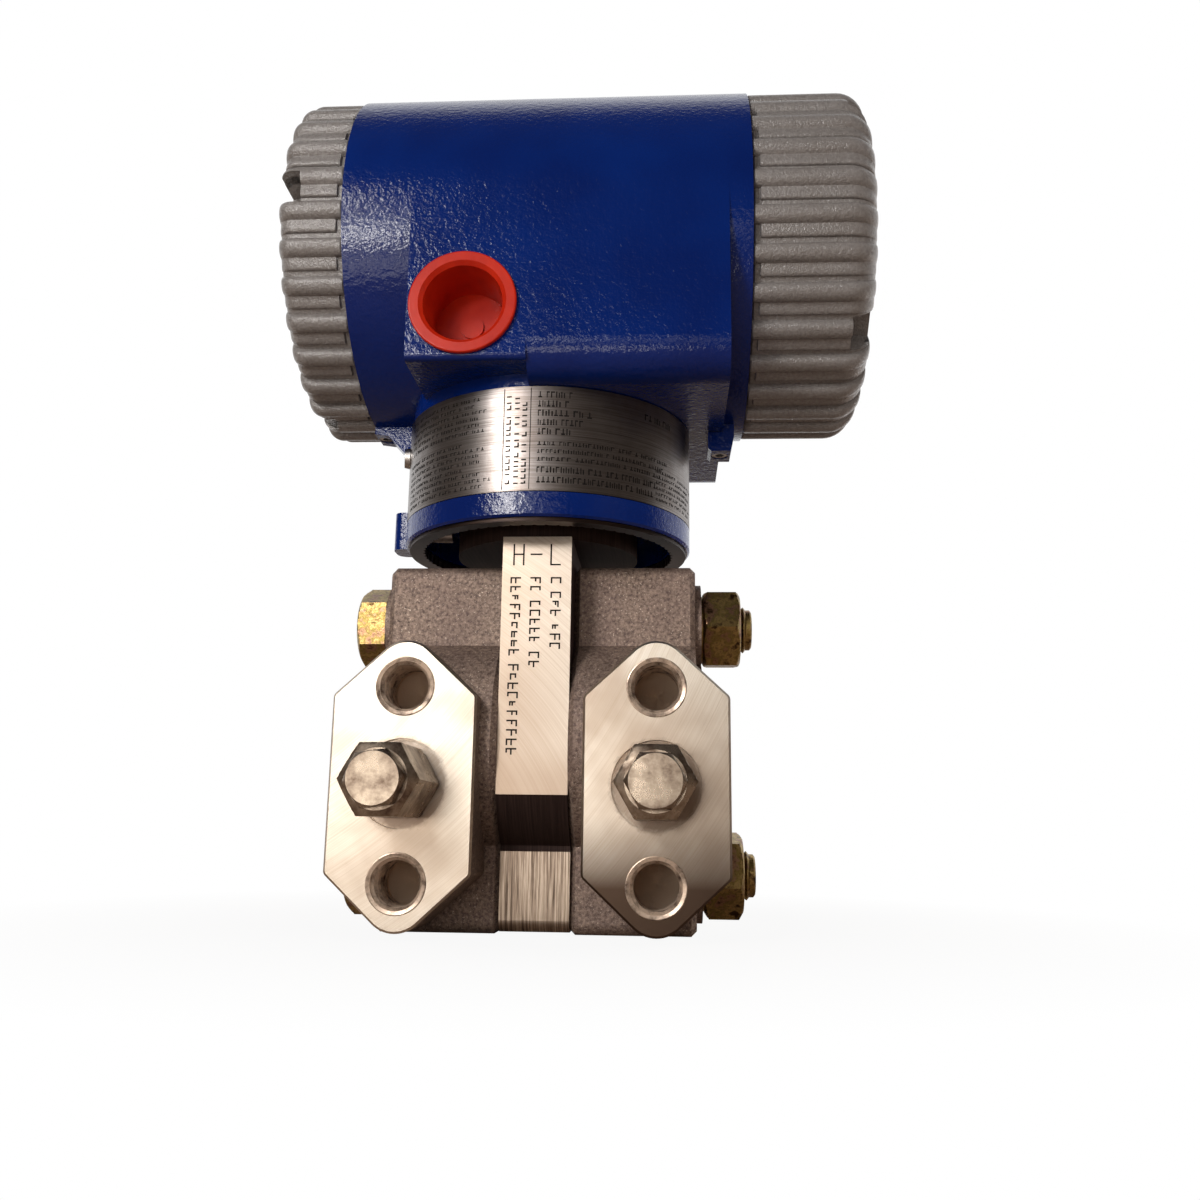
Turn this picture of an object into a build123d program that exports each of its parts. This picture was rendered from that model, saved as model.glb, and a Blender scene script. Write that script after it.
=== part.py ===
from build123d import *
import math
import os

# Differential pressure transmitter: a two-compartment housing on the stem of a sensor that is
# clamped between two process covers. Millimetres, +Z up, +Y out of the rear faces, +X to the low
# pressure side. The origin is the centre of the four-bolt pattern in the plane of the rear faces.

# Process connection, to the usual four-bolt pattern with ports 54 mm apart
port_spacing = 54.0
bolt_spacing_z = 41.3
face_to_face = 61.0
port_radius = 6.0
port_depth = 17.0
port_link_radius = 3.5
spot_face_radius = 9.5
spot_face_depth = 1.6
front_bolt_radius = 5.5
rear_bolt_radius = 5.3
flange_bolt_depth = 16.0

# Flange pads, six-sided with rounded ends
pad_half_width = 15.6
pad_corner_z = 18.8
pad_end_z = 32.2
pad_end_radius = 7.0
pad_corner_radius = 1.5
pad_edge = 0.5

# Chamber, cover castings and sensor slab
chamber_z = 9.75
chamber_radius = 26.2
cover_bar_depth = 26.4
cover_bar_height = 83.3
cover_bar_radius = 2.6
cover_edge = 1.2
cover_outer_x = 35.8
sensor_half = 7.8
boss_height = 1.5
boss_radius = 10.8
cap_disc_radius = 20.0
recess_radius = 18.2
recess_depth = 3.0
gasket_inner = 19.4
gasket_outer = 21.9
gasket_thickness = 1.45
seal_gap = 0.05

# Sensor slab, stem and the lock ring in the mouth of the neck
slab_lug_depth = 27.0
slab_lug_bottom = -31.4
block_depth = 47.0
block_top_z = 55.7
lock_ring_inset = 0.5
lock_ring_width = 3.6
lock_ring_thickness = 2.1
lock_ring_proud = 0.9
lock_ring_teeth = 72
stem_radius = 21.95
stem_height = 19.3
stem_gap = 0.05
lead_radius = 2.5
header_radius = 9.0
header_thickness = 2.4
lead_offset = 17.5
ring_section = 0.95
stem_ring_rise = 15.0

# Cover bolts and nuts
through_bolt_offset = 28.75
through_bolt_radius = 5.5
through_hole_radius = 5.8
hex_across_flats = 17.46
bolt_head_height = 7.4
nut_height = 9.3
bolt_tail = 2.8
hex_chamfer = 0.7
nut_turn = (24.8, 15.6)

# Vent plugs in the front ports
vent_across_flats = 14.3
vent_hex_length = 21.4
vent_thread_length = 14.5
vent_thread_gap = 0.05
vent_bore_radius = 3.0
vent_screw_gap = 0.05
vent_outlet_radius = 1.2
vent_outlet_setback = 14.0
vent_head_across_flats = 10.6
vent_head_length = 3.3
vent_head_gap = 0.3
vent_screw_length = 14.0

# Housing
housing_radius = 42.7
neck_height = 30.1
chest_drop = 44.6
housing_left = -44.1
housing_right = 48.3
chest_right = 43.0
chest_corner = 8.0
boss_left = -28.0
boss_right = -1.4
conduit_boss_rise = 3.0
conduit_boss_corner = 1.4
conduit_x = -15.5
conduit_drop = 28.6
conduit_radius = 10.2
plug_socket = 9.5
thread_wall = 4.2
compartment_step = 2.5
partition_left = -4.0
partition_right = 0.0
neck_radius = 34.3
band_thickness = 0.5
neck_clearance = 1.7
neck_ring_height = 5.5
neck_chamfer = 0.5
neck_recess_depth = 8.4
neck_room_radius = 16.0
neck_room_height = 8.0
wire_way_x = 8.5
wire_way_radius = 6.0
housing_gap = 0.3
lock_boss_half_width = 4.2
lock_boss_sink = 2.6
lock_boss_drop = 6.7
lock_screw_radius = 2.0
lock_screw_gap = 0.05
lock_screw_inset = 0.2
retention_rise = 5.2
lug_reach = 3.9
retention_lug_height = 9.4
ground_x = 24.0
ground_drop = 30.1
inner_ground_drop = 22.1

# Nameplate band round the neck
band_gap = 0.2
band_gap_angle = 16.0
rivet_angle = 12.5
rivet_drop = 7.5
rivet_head_radius = 2.6
rivet_head_height = 1.3
rivet_shank_radius = 1.2
rivet_hole_gap = 0.1
rivet_length = 5.0

# Threaded covers
rib_count = 30
rib_setback = 0.4
rib_flat_drop = 0.55
rib_width = 4.2
rib_lead_angle = 3.6
shallow_rib_phase = 1.7
deep_rib_phase = 6.0
rib_groove_width = 1.7
rib_groove_depth = 1.6
rib_chamfer = 1.2
shallow_cover_outer_x = -59.65
shallow_cover_round = 3.8
deep_cover_outer_x = 76.7
deep_cover_round = 7.1
thread_length = 12.0
thread_gap = 0.05
cover_wall = 7.2
face_rim_width = 18.3
face_recess_depth = 0.8
spigot_wall = 4.0
groove_width = 3.0
groove_depth = 2.5
cover_ring_section = 1.2
notch_width = 8.0
notch_reach = 11.3
notch_depth = 5.5
shallow_notch_angle = 178.0
deep_notch_angle = 228.0

# Window in the deep cover
window_rim = 8.0
glass_thickness = 8.0
glass_gap = 0.1
window_ring_height = 3.5

# Dust cap in the front conduit opening
cap_flange_radius = 12.0
cap_flange_thickness = 1.2
cap_mouth_radius = 8.85
cap_outer_radius = 10.0
cap_taper = 0.5
cap_depth = 13.5
cap_wall = 1.2
cap_bevel = 0.9
cap_pip_radius = 2.7

# Pieces inside the housing
module_gap = 3.0
module_length = 38.0
display_gap = 7.0
display_length = 16.0
lcd_width = 36.0
lcd_height = 20.0
lcd_lift = 5.0
button_radius = 3.2
button_gap = 0.08
button_spread = 9.0
button_drop = 16.5
button_pocket = 4.2
button_proud = 2.0
button_travel_room = 1.4
block_gap = 5.0
block_length = 14.0
block_floor_drop = 14.1
terminal_pitch = 16.0
terminal_width = 9.0
terminal_rise = 0.9
screw_gap = 0.05

# Places worked out from the sizes above
front_y = -face_to_face
stem_ring_z = block_top_z + stem_ring_rise
neck_bottom_z = block_top_z + neck_clearance
chest_bottom_z = neck_bottom_z + neck_height
lock_ring_z = neck_bottom_z - lock_ring_proud
lock_ring_outer = neck_radius - lock_ring_inset
lock_ring_inner = lock_ring_outer - lock_ring_width
neck_ring_radius = neck_radius + band_thickness
housing_z = chest_bottom_z + chest_drop
conduit_boss_bottom_z = chest_bottom_z + conduit_boss_rise
conduit_z = housing_z - conduit_drop
band_bottom_z = neck_bottom_z + neck_ring_height + band_gap
band_top_z = chest_bottom_z - band_gap
rivet_z = chest_bottom_z - rivet_drop
retention_z = neck_bottom_z + retention_rise
lug_face_x = -neck_radius - lug_reach
left_lock_x = housing_left + 2.1
right_lock_x = housing_right - 5.9
lock_boss_top_z = housing_z - housing_radius + lock_boss_sink
lock_boss_bottom_z = housing_z - housing_radius - lock_boss_drop
thread_radius = housing_radius - thread_wall
compartment_radius = thread_radius - compartment_step
cover_bore_radius = thread_radius - spigot_wall
groove_floor_radius = thread_radius - groove_depth
rib_radius = housing_radius - rib_setback
notch_floor_radius = rib_radius - notch_reach
window_radius = cover_bore_radius - window_rim
module_radius = compartment_radius - module_gap
display_radius = cover_bore_radius - display_gap
block_radius = compartment_radius - block_gap
block_floor_z = housing_z - block_floor_drop
terminal_z = housing_z + terminal_rise
ground_z = housing_z - ground_drop
inner_ground_z = housing_z - inner_ground_drop
mid_y = -face_to_face / 2
port_x = port_spacing / 2
bolt_z = bolt_spacing_z / 2
chest_half_depth = housing_radius
hex_circle = hex_across_flats / math.sqrt(3)
stem_top_z = block_top_z + stem_height
housing_length = housing_right - housing_left
boss_face_x = cover_outer_x + boss_height
vent_seat_y = front_y + spot_face_depth
bolt_levels = (chamber_z + through_bolt_offset, chamber_z - through_bolt_offset)
# Sharp tip of the pad outline, so that its rounded end reaches pad_end_z
pad_slope = (pad_end_z - pad_corner_z) / pad_half_width
pad_tip_z = pad_end_z + 0.45 * pad_end_radius * (math.hypot(1, pad_slope) - 1)


def save(builder, name):
    """Label one finished piece and write its file."""
    builder.part.label = name
    export_step(builder.part, f"parts/{name}.step")


# Sensor slab, milled flat at the front and rear, with its stem
with BuildPart() as sensor_body:
    with BuildSketch(Plane.YZ.offset(-sensor_half)):
        with Locations((mid_y, chamber_z)):
            Circle(chamber_radius)
        with Locations((mid_y, slab_lug_bottom)):
            Rectangle(slab_lug_depth, chamber_z - slab_lug_bottom, align=(Align.CENTER, Align.MIN))
        with Locations((mid_y, chamber_z)):
            Rectangle(block_depth, block_top_z - chamber_z, align=(Align.CENTER, Align.MIN))
            Rectangle(block_depth, 4 * chamber_radius, mode=Mode.INTERSECT)
    extrude(amount=2 * sensor_half)
    foot_edges = sensor_body.edges().filter_by(Axis.X).group_by(Axis.Z)[0]
    fillet(foot_edges, cover_bar_radius)
    with BuildSketch(Plane.XY.offset(block_top_z)):
        with Locations((0, mid_y)):
            Circle(stem_radius)
    extrude(amount=stem_height)
    chamfer(sensor_body.faces().sort_by(Axis.Z)[-1].edges(), 0.6)
    with BuildSketch(Plane.XY.offset(stem_ring_z - ring_section - stem_gap)):
        with Locations((0, mid_y)):
            Circle(stem_radius)
            Circle(stem_radius - 2 * ring_section, mode=Mode.SUBTRACT)
    extrude(amount=2 * (ring_section + stem_gap), mode=Mode.SUBTRACT)
    for level in bolt_levels:
        with Locations(Plane(origin=(sensor_half, mid_y, level), z_dir=(1, 0, 0))):
            Hole(through_hole_radius, 2 * sensor_half)
    for side in (-1, 1):
        with Locations(Plane(origin=(side * sensor_half, mid_y, chamber_z), z_dir=(side, 0, 0))):
            Hole(recess_radius + seal_gap, 0.8)
    with Locations(Plane(origin=(0, mid_y - lead_offset, stem_top_z), z_dir=(0, 0, 1))):
        Hole(lead_radius, stem_top_z - chamber_z)
save(sensor_body, "sensor_body")

# Serrated lock ring in the mouth of the housing neck
with BuildPart() as lock_ring:
    with BuildSketch(Plane.XY.offset(lock_ring_z)):
        with Locations((0, mid_y)):
            Circle(lock_ring_outer)
            Circle(lock_ring_inner, mode=Mode.SUBTRACT)
            with PolarLocations(lock_ring_inner, lock_ring_teeth):
                RegularPolygon(0.55, 4, mode=Mode.SUBTRACT)
    extrude(amount=lock_ring_thickness)
save(lock_ring, "lock_ring")

with BuildPart() as neck_oring:
    with BuildSketch(Plane.XZ.offset(-mid_y)):
        with Locations((stem_radius - ring_section, stem_ring_z)):
            Circle(ring_section - stem_gap / 2)
    revolve(axis=Axis((0, mid_y, 0), (0, 0, 1)))
save(neck_oring, "neck_oring")

# Header with its pins, on top of the stem
with BuildPart() as lead_header:
    with BuildSketch(Plane.XY.offset(stem_top_z)):
        with Locations((0, mid_y)):
            Circle(header_radius)
    extrude(amount=header_thickness)
    with BuildSketch(Plane.XY.offset(stem_top_z + header_thickness)):
        with Locations((0, mid_y)):
            with PolarLocations(5.5, 6):
                Circle(0.6)
    extrude(amount=4.0)
save(lead_header, "lead_header")


def process_cover():
    """Cover casting of the high side; the low side is its mirror image."""
    side = -1
    inner_x = side * sensor_half
    depth = cover_outer_x - sensor_half
    with BuildPart() as cover:
        with BuildSketch(Plane(origin=(inner_x, mid_y, chamber_z), x_dir=(0, 1, 0), z_dir=(side, 0, 0))):
            Circle(chamber_radius)
            Rectangle(cover_bar_depth, cover_bar_height)
        extrude(amount=depth)
        bar_edges = cover.edges().filter_by(Axis.X)
        bar_corners = bar_edges.group_by(Axis.Z)[0] + bar_edges.group_by(Axis.Z)[-1]
        fillet(bar_corners, cover_bar_radius)
        inner_face = cover.faces().filter_by(Axis.X).sort_by(Axis.X)[0 if side > 0 else -1]
        outer_face = cover.faces().filter_by(Axis.X).sort_by(Axis.X)[-1 if side > 0 else 0]
        chamfer(inner_face.edges(), cover_edge)
        chamfer(outer_face.edges(), cover_edge)
        # Raised bosses for the bolts and the domed chamber cap
        cap_plane = Plane(
            origin=(side * cover_outer_x, mid_y, chamber_z), x_dir=(0, 1, 0), z_dir=(side, 0, 0)
        )
        with BuildSketch(cap_plane):
            with GridLocations(0, 2 * through_bolt_offset, 1, 2):
                Circle(boss_radius)
            Circle(cap_disc_radius)
        extrude(amount=boss_height)
        # Flange pads, front and rear
        for face_y, outward in ((front_y, -1), (0, 1)):
            pad_plane = Plane(origin=(side * port_x, face_y, 0), x_dir=(1, 0, 0), z_dir=(0, outward, 0))
            with BuildPart(mode=Mode.PRIVATE) as pad:
                with BuildSketch(pad_plane) as face:
                    with BuildLine():
                        Polyline(
                            (pad_half_width, -pad_corner_z),
                            (pad_half_width, pad_corner_z),
                            (0, pad_tip_z),
                            (-pad_half_width, pad_corner_z),
                            (-pad_half_width, -pad_corner_z),
                            (0, -pad_tip_z),
                            close=True,
                        )
                    make_face()
                    ends = face.vertices().sort_by(Axis.Y)
                    fillet([ends[0], ends[-1]], pad_end_radius)
                    corners = face.vertices().sort_by(Axis.X)
                    fillet(corners[0:2] + corners[-2:], pad_corner_radius)
                extrude(amount=-(face_to_face - cover_bar_depth) / 2 - 0.5)
                rim = pad.faces().filter_by(Axis.Y).sort_by(Axis.Y)[0 if outward < 0 else -1]
                chamfer(rim.edges(), pad_edge)
            add(pad.part)
        for face_y, outward, bolt_radius in ((front_y, -1, front_bolt_radius), (0, 1, rear_bolt_radius)):
            pad_plane = Plane(origin=(side * port_x, face_y, 0), x_dir=(1, 0, 0), z_dir=(0, outward, 0))
            for hole_z in (-bolt_z, bolt_z):
                with Locations(pad_plane.location * Location((0, hole_z, 0))):
                    Hole(bolt_radius, flange_bolt_depth)
                    with Locations((0, 0, -flange_bolt_depth)):
                        Cone(
                            0.01,
                            bolt_radius,
                            bolt_radius * 0.6,
                            align=(Align.CENTER, Align.CENTER, Align.MAX),
                            mode=Mode.SUBTRACT,
                        )
            with Locations(pad_plane):
                CounterBoreHole(port_radius, spot_face_radius, spot_face_depth, spot_face_depth + port_depth)
        # Passage between the ports, and from it to the chamber
        with Locations(Plane(origin=(side * port_x, 0, 0), z_dir=(0, 1, 0))):
            Hole(port_link_radius, face_to_face)
        with Locations(Plane(origin=(inner_x, mid_y, 0), z_dir=(-side, 0, 0))):
            Hole(port_link_radius, port_x - sensor_half)
        with Locations(Plane(origin=(inner_x, mid_y, chamber_z), z_dir=(-side, 0, 0))):
            Hole(recess_radius, recess_depth)
        with BuildSketch(Plane(origin=(inner_x, mid_y, chamber_z), z_dir=(side, 0, 0))):
            Circle(gasket_outer + seal_gap)
            Circle(gasket_inner - seal_gap, mode=Mode.SUBTRACT)
        extrude(amount=gasket_thickness + seal_gap, mode=Mode.SUBTRACT)
        for level in bolt_levels:
            with Locations(Plane(origin=(side * boss_face_x, mid_y, level), z_dir=(side, 0, 0))):
                Hole(through_hole_radius, boss_face_x - sensor_half)
    return cover


high_side_cover = process_cover()
save(high_side_cover, "high_side_cover")
with BuildPart() as low_side_cover:
    mirror(high_side_cover.part, about=Plane.YZ)
save(low_side_cover, "low_side_cover")

for side, side_name in ((-1, "high"), (1, "low")):
    with BuildPart() as gasket:
        with BuildSketch(Plane(origin=(side * sensor_half, mid_y, chamber_z), z_dir=(side, 0, 0))):
            Circle(gasket_outer)
            Circle(gasket_inner, mode=Mode.SUBTRACT)
        extrude(amount=gasket_thickness)
    save(gasket, f"{side_name}_side_gasket")

    # Thin isolating diaphragm with one corrugation, welded in the slab's recess
    with BuildPart() as diaphragm:
        with BuildSketch(Plane(origin=(side * (sensor_half - 0.75), mid_y, chamber_z), z_dir=(side, 0, 0))):
            Circle(recess_radius)
        extrude(amount=0.3)
        with BuildSketch(Plane(origin=(side * (sensor_half - 0.45), mid_y, chamber_z), z_dir=(side, 0, 0))):
            Circle(recess_radius - 4)
            Circle(recess_radius - 5.5, mode=Mode.SUBTRACT)
            Circle(recess_radius - 8)
            Circle(recess_radius - 9.5, mode=Mode.SUBTRACT)
        extrude(amount=0.25)
    save(diaphragm, f"{side_name}_side_diaphragm")

# Two long bolts through both covers, heads on the high side
with BuildPart() as cover_bolts:
    for level in bolt_levels:
        with BuildPart(mode=Mode.PRIVATE) as bolt:
            with BuildSketch(Plane(origin=(-boss_face_x, mid_y, level), x_dir=(0, 0, 1), z_dir=(-1, 0, 0))):
                RegularPolygon(hex_circle, 6)
            extrude(amount=bolt_head_height)
            with BuildSketch(Plane(origin=(-boss_face_x, mid_y, level), x_dir=(-1, 0, 0), z_dir=(0, 1, 0))):
                with BuildLine():
                    Polyline(
                        (0, 0),
                        (0, hex_circle),
                        (bolt_head_height - hex_chamfer, hex_circle),
                        (bolt_head_height, hex_circle - 2 * hex_chamfer),
                        (bolt_head_height, 0),
                        close=True,
                    )
                make_face()
            revolve(axis=Axis((0, mid_y, level), (1, 0, 0)), mode=Mode.INTERSECT)
            with BuildSketch(Plane(origin=(-boss_face_x, mid_y, level), z_dir=(1, 0, 0))):
                Circle(through_bolt_radius)
            extrude(amount=2 * boss_face_x + nut_height + bolt_tail)
            chamfer(bolt.faces().sort_by(Axis.X)[-1].edges(), 1.0)
        add(bolt.part)
save(cover_bolts, "cover_bolts")

with BuildPart() as cover_nuts:
    for level, turn in zip(bolt_levels, nut_turn):
        with BuildPart(mode=Mode.PRIVATE) as nut:
            with BuildSketch(Plane(origin=(boss_face_x, mid_y, level), x_dir=(0, 0, 1), z_dir=(1, 0, 0))):
                RegularPolygon(hex_circle, 6, rotation=-turn)
                Circle(through_bolt_radius + 0.03, mode=Mode.SUBTRACT)
            extrude(amount=nut_height)
            with BuildSketch(Plane(origin=(boss_face_x, mid_y, level), x_dir=(1, 0, 0), z_dir=(0, -1, 0))):
                with BuildLine():
                    Polyline(
                        (0, 0),
                        (0, hex_circle),
                        (nut_height - hex_chamfer, hex_circle),
                        (nut_height, hex_circle - 2 * hex_chamfer),
                        (nut_height, 0),
                        close=True,
                    )
                make_face()
            revolve(axis=Axis((0, mid_y, level), (1, 0, 0)), mode=Mode.INTERSECT)
        add(nut.part)
save(cover_nuts, "cover_nuts")


def vent_plug(side):
    """Vent plug body, with its hexagon outside the spot face and its thread in the port."""
    seat = Plane(origin=(side * port_x, vent_seat_y, 0), x_dir=(1, 0, 0), z_dir=(0, -1, 0))
    corner = vent_across_flats / math.sqrt(3)
    with BuildPart() as body:
        with BuildSketch(seat):
            RegularPolygon(corner, 6)
        extrude(amount=vent_hex_length)
        with BuildSketch(Plane(seat.origin)):
            with BuildLine():
                Polyline(
                    (0, 0),
                    (corner, 0),
                    (corner, 1.1 - vent_hex_length),
                    (corner - 2.2, -vent_hex_length),
                    (0, -vent_hex_length),
                    close=True,
                )
            make_face()
        revolve(axis=Axis(seat.origin, (0, 1, 0)), mode=Mode.INTERSECT)
        with BuildSketch(seat):
            Circle(port_radius - vent_thread_gap)
        extrude(amount=-vent_thread_length)
        chamfer(body.faces().sort_by(Axis.Y)[-1].edges(), 0.8)
        with Locations(seat.offset(vent_hex_length)):
            Hole(vent_bore_radius, vent_hex_length + vent_thread_length)
        with BuildSketch(Plane.XY) as outlet:
            with Locations((side * port_x, vent_seat_y - vent_hex_length + vent_outlet_setback)):
                Circle(vent_outlet_radius)
        extrude(amount=-vent_across_flats, mode=Mode.SUBTRACT)
    return body


def vent_screw(side):
    """Small hexagon screw that opens the vent."""
    head_y = vent_seat_y - vent_hex_length - vent_head_gap
    seat = Plane(origin=(side * port_x, head_y, 0), x_dir=(1, 0, 0), z_dir=(0, -1, 0))
    corner = vent_head_across_flats / math.sqrt(3)
    with BuildPart() as screw:
        with BuildSketch(seat):
            RegularPolygon(corner, 6)
        extrude(amount=vent_head_length)
        with BuildSketch(Plane(seat.origin)):
            with BuildLine():
                Polyline(
                    (0, 0),
                    (corner, 0),
                    (corner, 0.5 - vent_head_length),
                    (corner - 1, -vent_head_length),
                    (0, -vent_head_length),
                    close=True,
                )
            make_face()
        revolve(axis=Axis(seat.origin, (0, 1, 0)), mode=Mode.INTERSECT)
        with BuildSketch(seat):
            Circle(vent_bore_radius - vent_screw_gap)
        extrude(amount=-vent_screw_length)
        chamfer(screw.faces().sort_by(Axis.Y)[-1].edges(), 1.5)
    return screw


for side, side_name in ((-1, "high"), (1, "low")):
    save(vent_plug(side), f"{side_name}_side_vent_plug")
    save(vent_screw(side), f"{side_name}_side_vent_screw")

# Housing: a barrel along X, a chest below it, a round neck and the cast bosses
x_axis = Axis((0, mid_y, housing_z), (1, 0, 0))
with BuildPart() as housing:
    with BuildSketch(Plane.YZ.offset(housing_left)):
        with Locations((mid_y, housing_z)):
            Circle(housing_radius)
    extrude(amount=housing_length)
    with BuildSketch(Plane.YZ.offset(boss_right)) as chest:
        with Locations((mid_y, chest_bottom_z)):
            Rectangle(2 * chest_half_depth, housing_z - chest_bottom_z, align=(Align.CENTER, Align.MIN))
        fillet(chest.vertices().group_by(Axis.Y)[0], chest_corner)
    extrude(amount=chest_right - boss_right)
    with BuildSketch(Plane.YZ.offset(boss_left)) as boss:
        with Locations((mid_y, conduit_boss_bottom_z)):
            Rectangle(
                2 * chest_half_depth,
                housing_z - conduit_boss_bottom_z,
                align=(Align.CENTER, Align.MIN),
            )
        fillet(boss.vertices().group_by(Axis.Y)[0], conduit_boss_corner)
    extrude(amount=boss_right - boss_left)
    with BuildSketch(Plane.XY.offset(neck_bottom_z)):
        with Locations((0, mid_y)):
            Circle(neck_radius)
    extrude(amount=housing_z - compartment_radius - neck_bottom_z)
    with BuildSketch(Plane.XY.offset(neck_bottom_z)) as ring:
        with Locations((0, mid_y)):
            Circle(neck_ring_radius)
    extrude(amount=neck_ring_height)
    chamfer(housing.faces().sort_by(Axis.Z)[0].edges(), neck_chamfer)
    # Lock bosses under both ends of the barrel
    with BuildSketch(Plane.XZ.offset(-mid_y)):
        with BuildLine():
            Polyline(
                (housing_left, lock_boss_top_z),
                (housing_left, lock_boss_bottom_z + 5.1),
                (housing_left + 3.5, lock_boss_bottom_z + 4.6),
                (housing_left + 7.7, lock_boss_bottom_z + 0.1),
                (housing_left + 11.1, lock_boss_bottom_z + 0.1),
                (housing_left + 11.1, lock_boss_top_z),
                close=True,
            )
        make_face()
        with BuildLine():
            Polyline(
                (housing_right - 8.9, lock_boss_top_z),
                (housing_right - 8.9, lock_boss_bottom_z + 0.7),
                (housing_right - 8.1, lock_boss_bottom_z),
                (housing_right - 3.3, lock_boss_bottom_z),
                (housing_right - 2.5, lock_boss_bottom_z + 3.7),
                (housing_right - 2.5, lock_boss_top_z),
                close=True,
            )
        make_face()
    extrude(amount=lock_boss_half_width, both=True)
    # Lug for the retention screw
    with BuildSketch(Plane.XY.offset(neck_bottom_z + 0.5)) as lug:
        with Locations((-neck_radius + 2, mid_y)):
            Rectangle(2 + lug_reach, 8.0, align=(Align.MAX, Align.CENTER))
        fillet(lug.vertices().group_by(Axis.X)[0], 2.4)
    extrude(amount=retention_lug_height)
    # Compartments, threads and the rooms in the neck
    for end_x, room_x, inward in ((housing_left, partition_left, 1), (housing_right, partition_right, -1)):
        with Locations(Plane(origin=(end_x, mid_y, housing_z), z_dir=(-inward, 0, 0))):
            Hole(thread_radius, thread_length + 1.2)
            Hole(compartment_radius, abs(room_x - end_x))
    with Locations(Plane(origin=(0, mid_y, neck_bottom_z), z_dir=(0, 0, -1))):
        Hole(lock_ring_outer + seal_gap, lock_ring_z + lock_ring_thickness + housing_gap - neck_bottom_z)
        Hole(lock_ring_inner, neck_recess_depth)
        Hole(stem_radius + stem_gap, stem_top_z + 0.5 - neck_bottom_z)
        Hole(neck_room_radius, stem_top_z + neck_room_height - neck_bottom_z)
    with BuildSketch(Plane.XY.offset(stem_top_z + neck_room_height - 1)):
        with Locations((wire_way_x, mid_y)):
            Circle(wire_way_radius)
    extrude(amount=16, mode=Mode.SUBTRACT)
    # Conduit openings through the front and the rear
    with Locations(Plane(origin=(conduit_x, mid_y + chest_half_depth, conduit_z), z_dir=(0, 1, 0))):
        Hole(conduit_radius, 2 * chest_half_depth)
    # Holes for the lock screws, retention screw, ground screws and drive screws
    with Locations(Plane(origin=(right_lock_x, mid_y, lock_boss_bottom_z), z_dir=(0, 0, -1))):
        Hole(lock_screw_radius + lock_screw_gap, 12)
    with Locations(Plane(origin=(left_lock_x, mid_y, lock_boss_bottom_z + 4.2), z_dir=(0, 0, -1))):
        Hole(lock_screw_radius + lock_screw_gap, 8)
    with Locations(Plane(origin=(lug_face_x - 1, mid_y, retention_z), z_dir=(-1, 0, 0))):
        Hole(lock_screw_radius + lock_screw_gap, 18)
    with Locations(Plane(origin=(ground_x, mid_y + chest_half_depth, ground_z), z_dir=(0, 1, 0))):
        Hole(2.5 + screw_gap, 6.5)
    with Locations(Plane(origin=(partition_left, mid_y, inner_ground_z), z_dir=(-1, 0, 0))):
        Hole(2.0 + screw_gap, 3.0)
    for turn in (-1, 1):
        angle = math.radians(180 + turn * rivet_angle)
        outward = (math.cos(angle), math.sin(angle), 0)
        start = (neck_radius * outward[0], mid_y + neck_radius * outward[1], rivet_z)
        with Locations(Plane(origin=start, z_dir=outward)):
            Hole(rivet_shank_radius + rivet_hole_gap, rivet_length + 0.5)
save(housing, "housing")

# Stainless band with an open joint towards the high side
with BuildPart() as nameplate_band:
    with BuildSketch(Plane.XY.offset(band_bottom_z)):
        with Locations((0, mid_y)):
            Circle(neck_ring_radius)
            Circle(neck_radius + seal_gap, mode=Mode.SUBTRACT)
        with BuildLine():
            reach = neck_ring_radius + 3
            spread = reach * math.tan(math.radians(band_gap_angle / 2))
            Polyline((0, mid_y), (-reach, mid_y - spread), (-reach, mid_y + spread), close=True)
        make_face(mode=Mode.SUBTRACT)
    extrude(amount=band_top_z - band_bottom_z)
    for turn in (-1, 1):
        angle = math.radians(180 + turn * rivet_angle)
        outward = (math.cos(angle), math.sin(angle), 0)
        start = (reach * outward[0], mid_y + reach * outward[1], rivet_z)
        with Locations(Plane(origin=start, z_dir=outward)):
            Hole(rivet_shank_radius + rivet_hole_gap, 6)
save(nameplate_band, "nameplate_band")

with BuildPart() as drive_screws:
    for turn in (-1, 1):
        angle = math.radians(180 + turn * rivet_angle)
        outward = (math.cos(angle), math.sin(angle), 0)
        seat_r = neck_ring_radius + 0.02
        start = (seat_r * outward[0], mid_y + seat_r * outward[1], rivet_z)
        with BuildSketch(Plane(origin=start, z_dir=outward)):
            Circle(rivet_head_radius)
        extrude(amount=rivet_head_height, taper=12)
        with BuildSketch(Plane(origin=start, z_dir=outward)):
            Circle(rivet_shank_radius)
        extrude(amount=-rivet_length)
save(drive_screws, "nameplate_screws")


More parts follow.
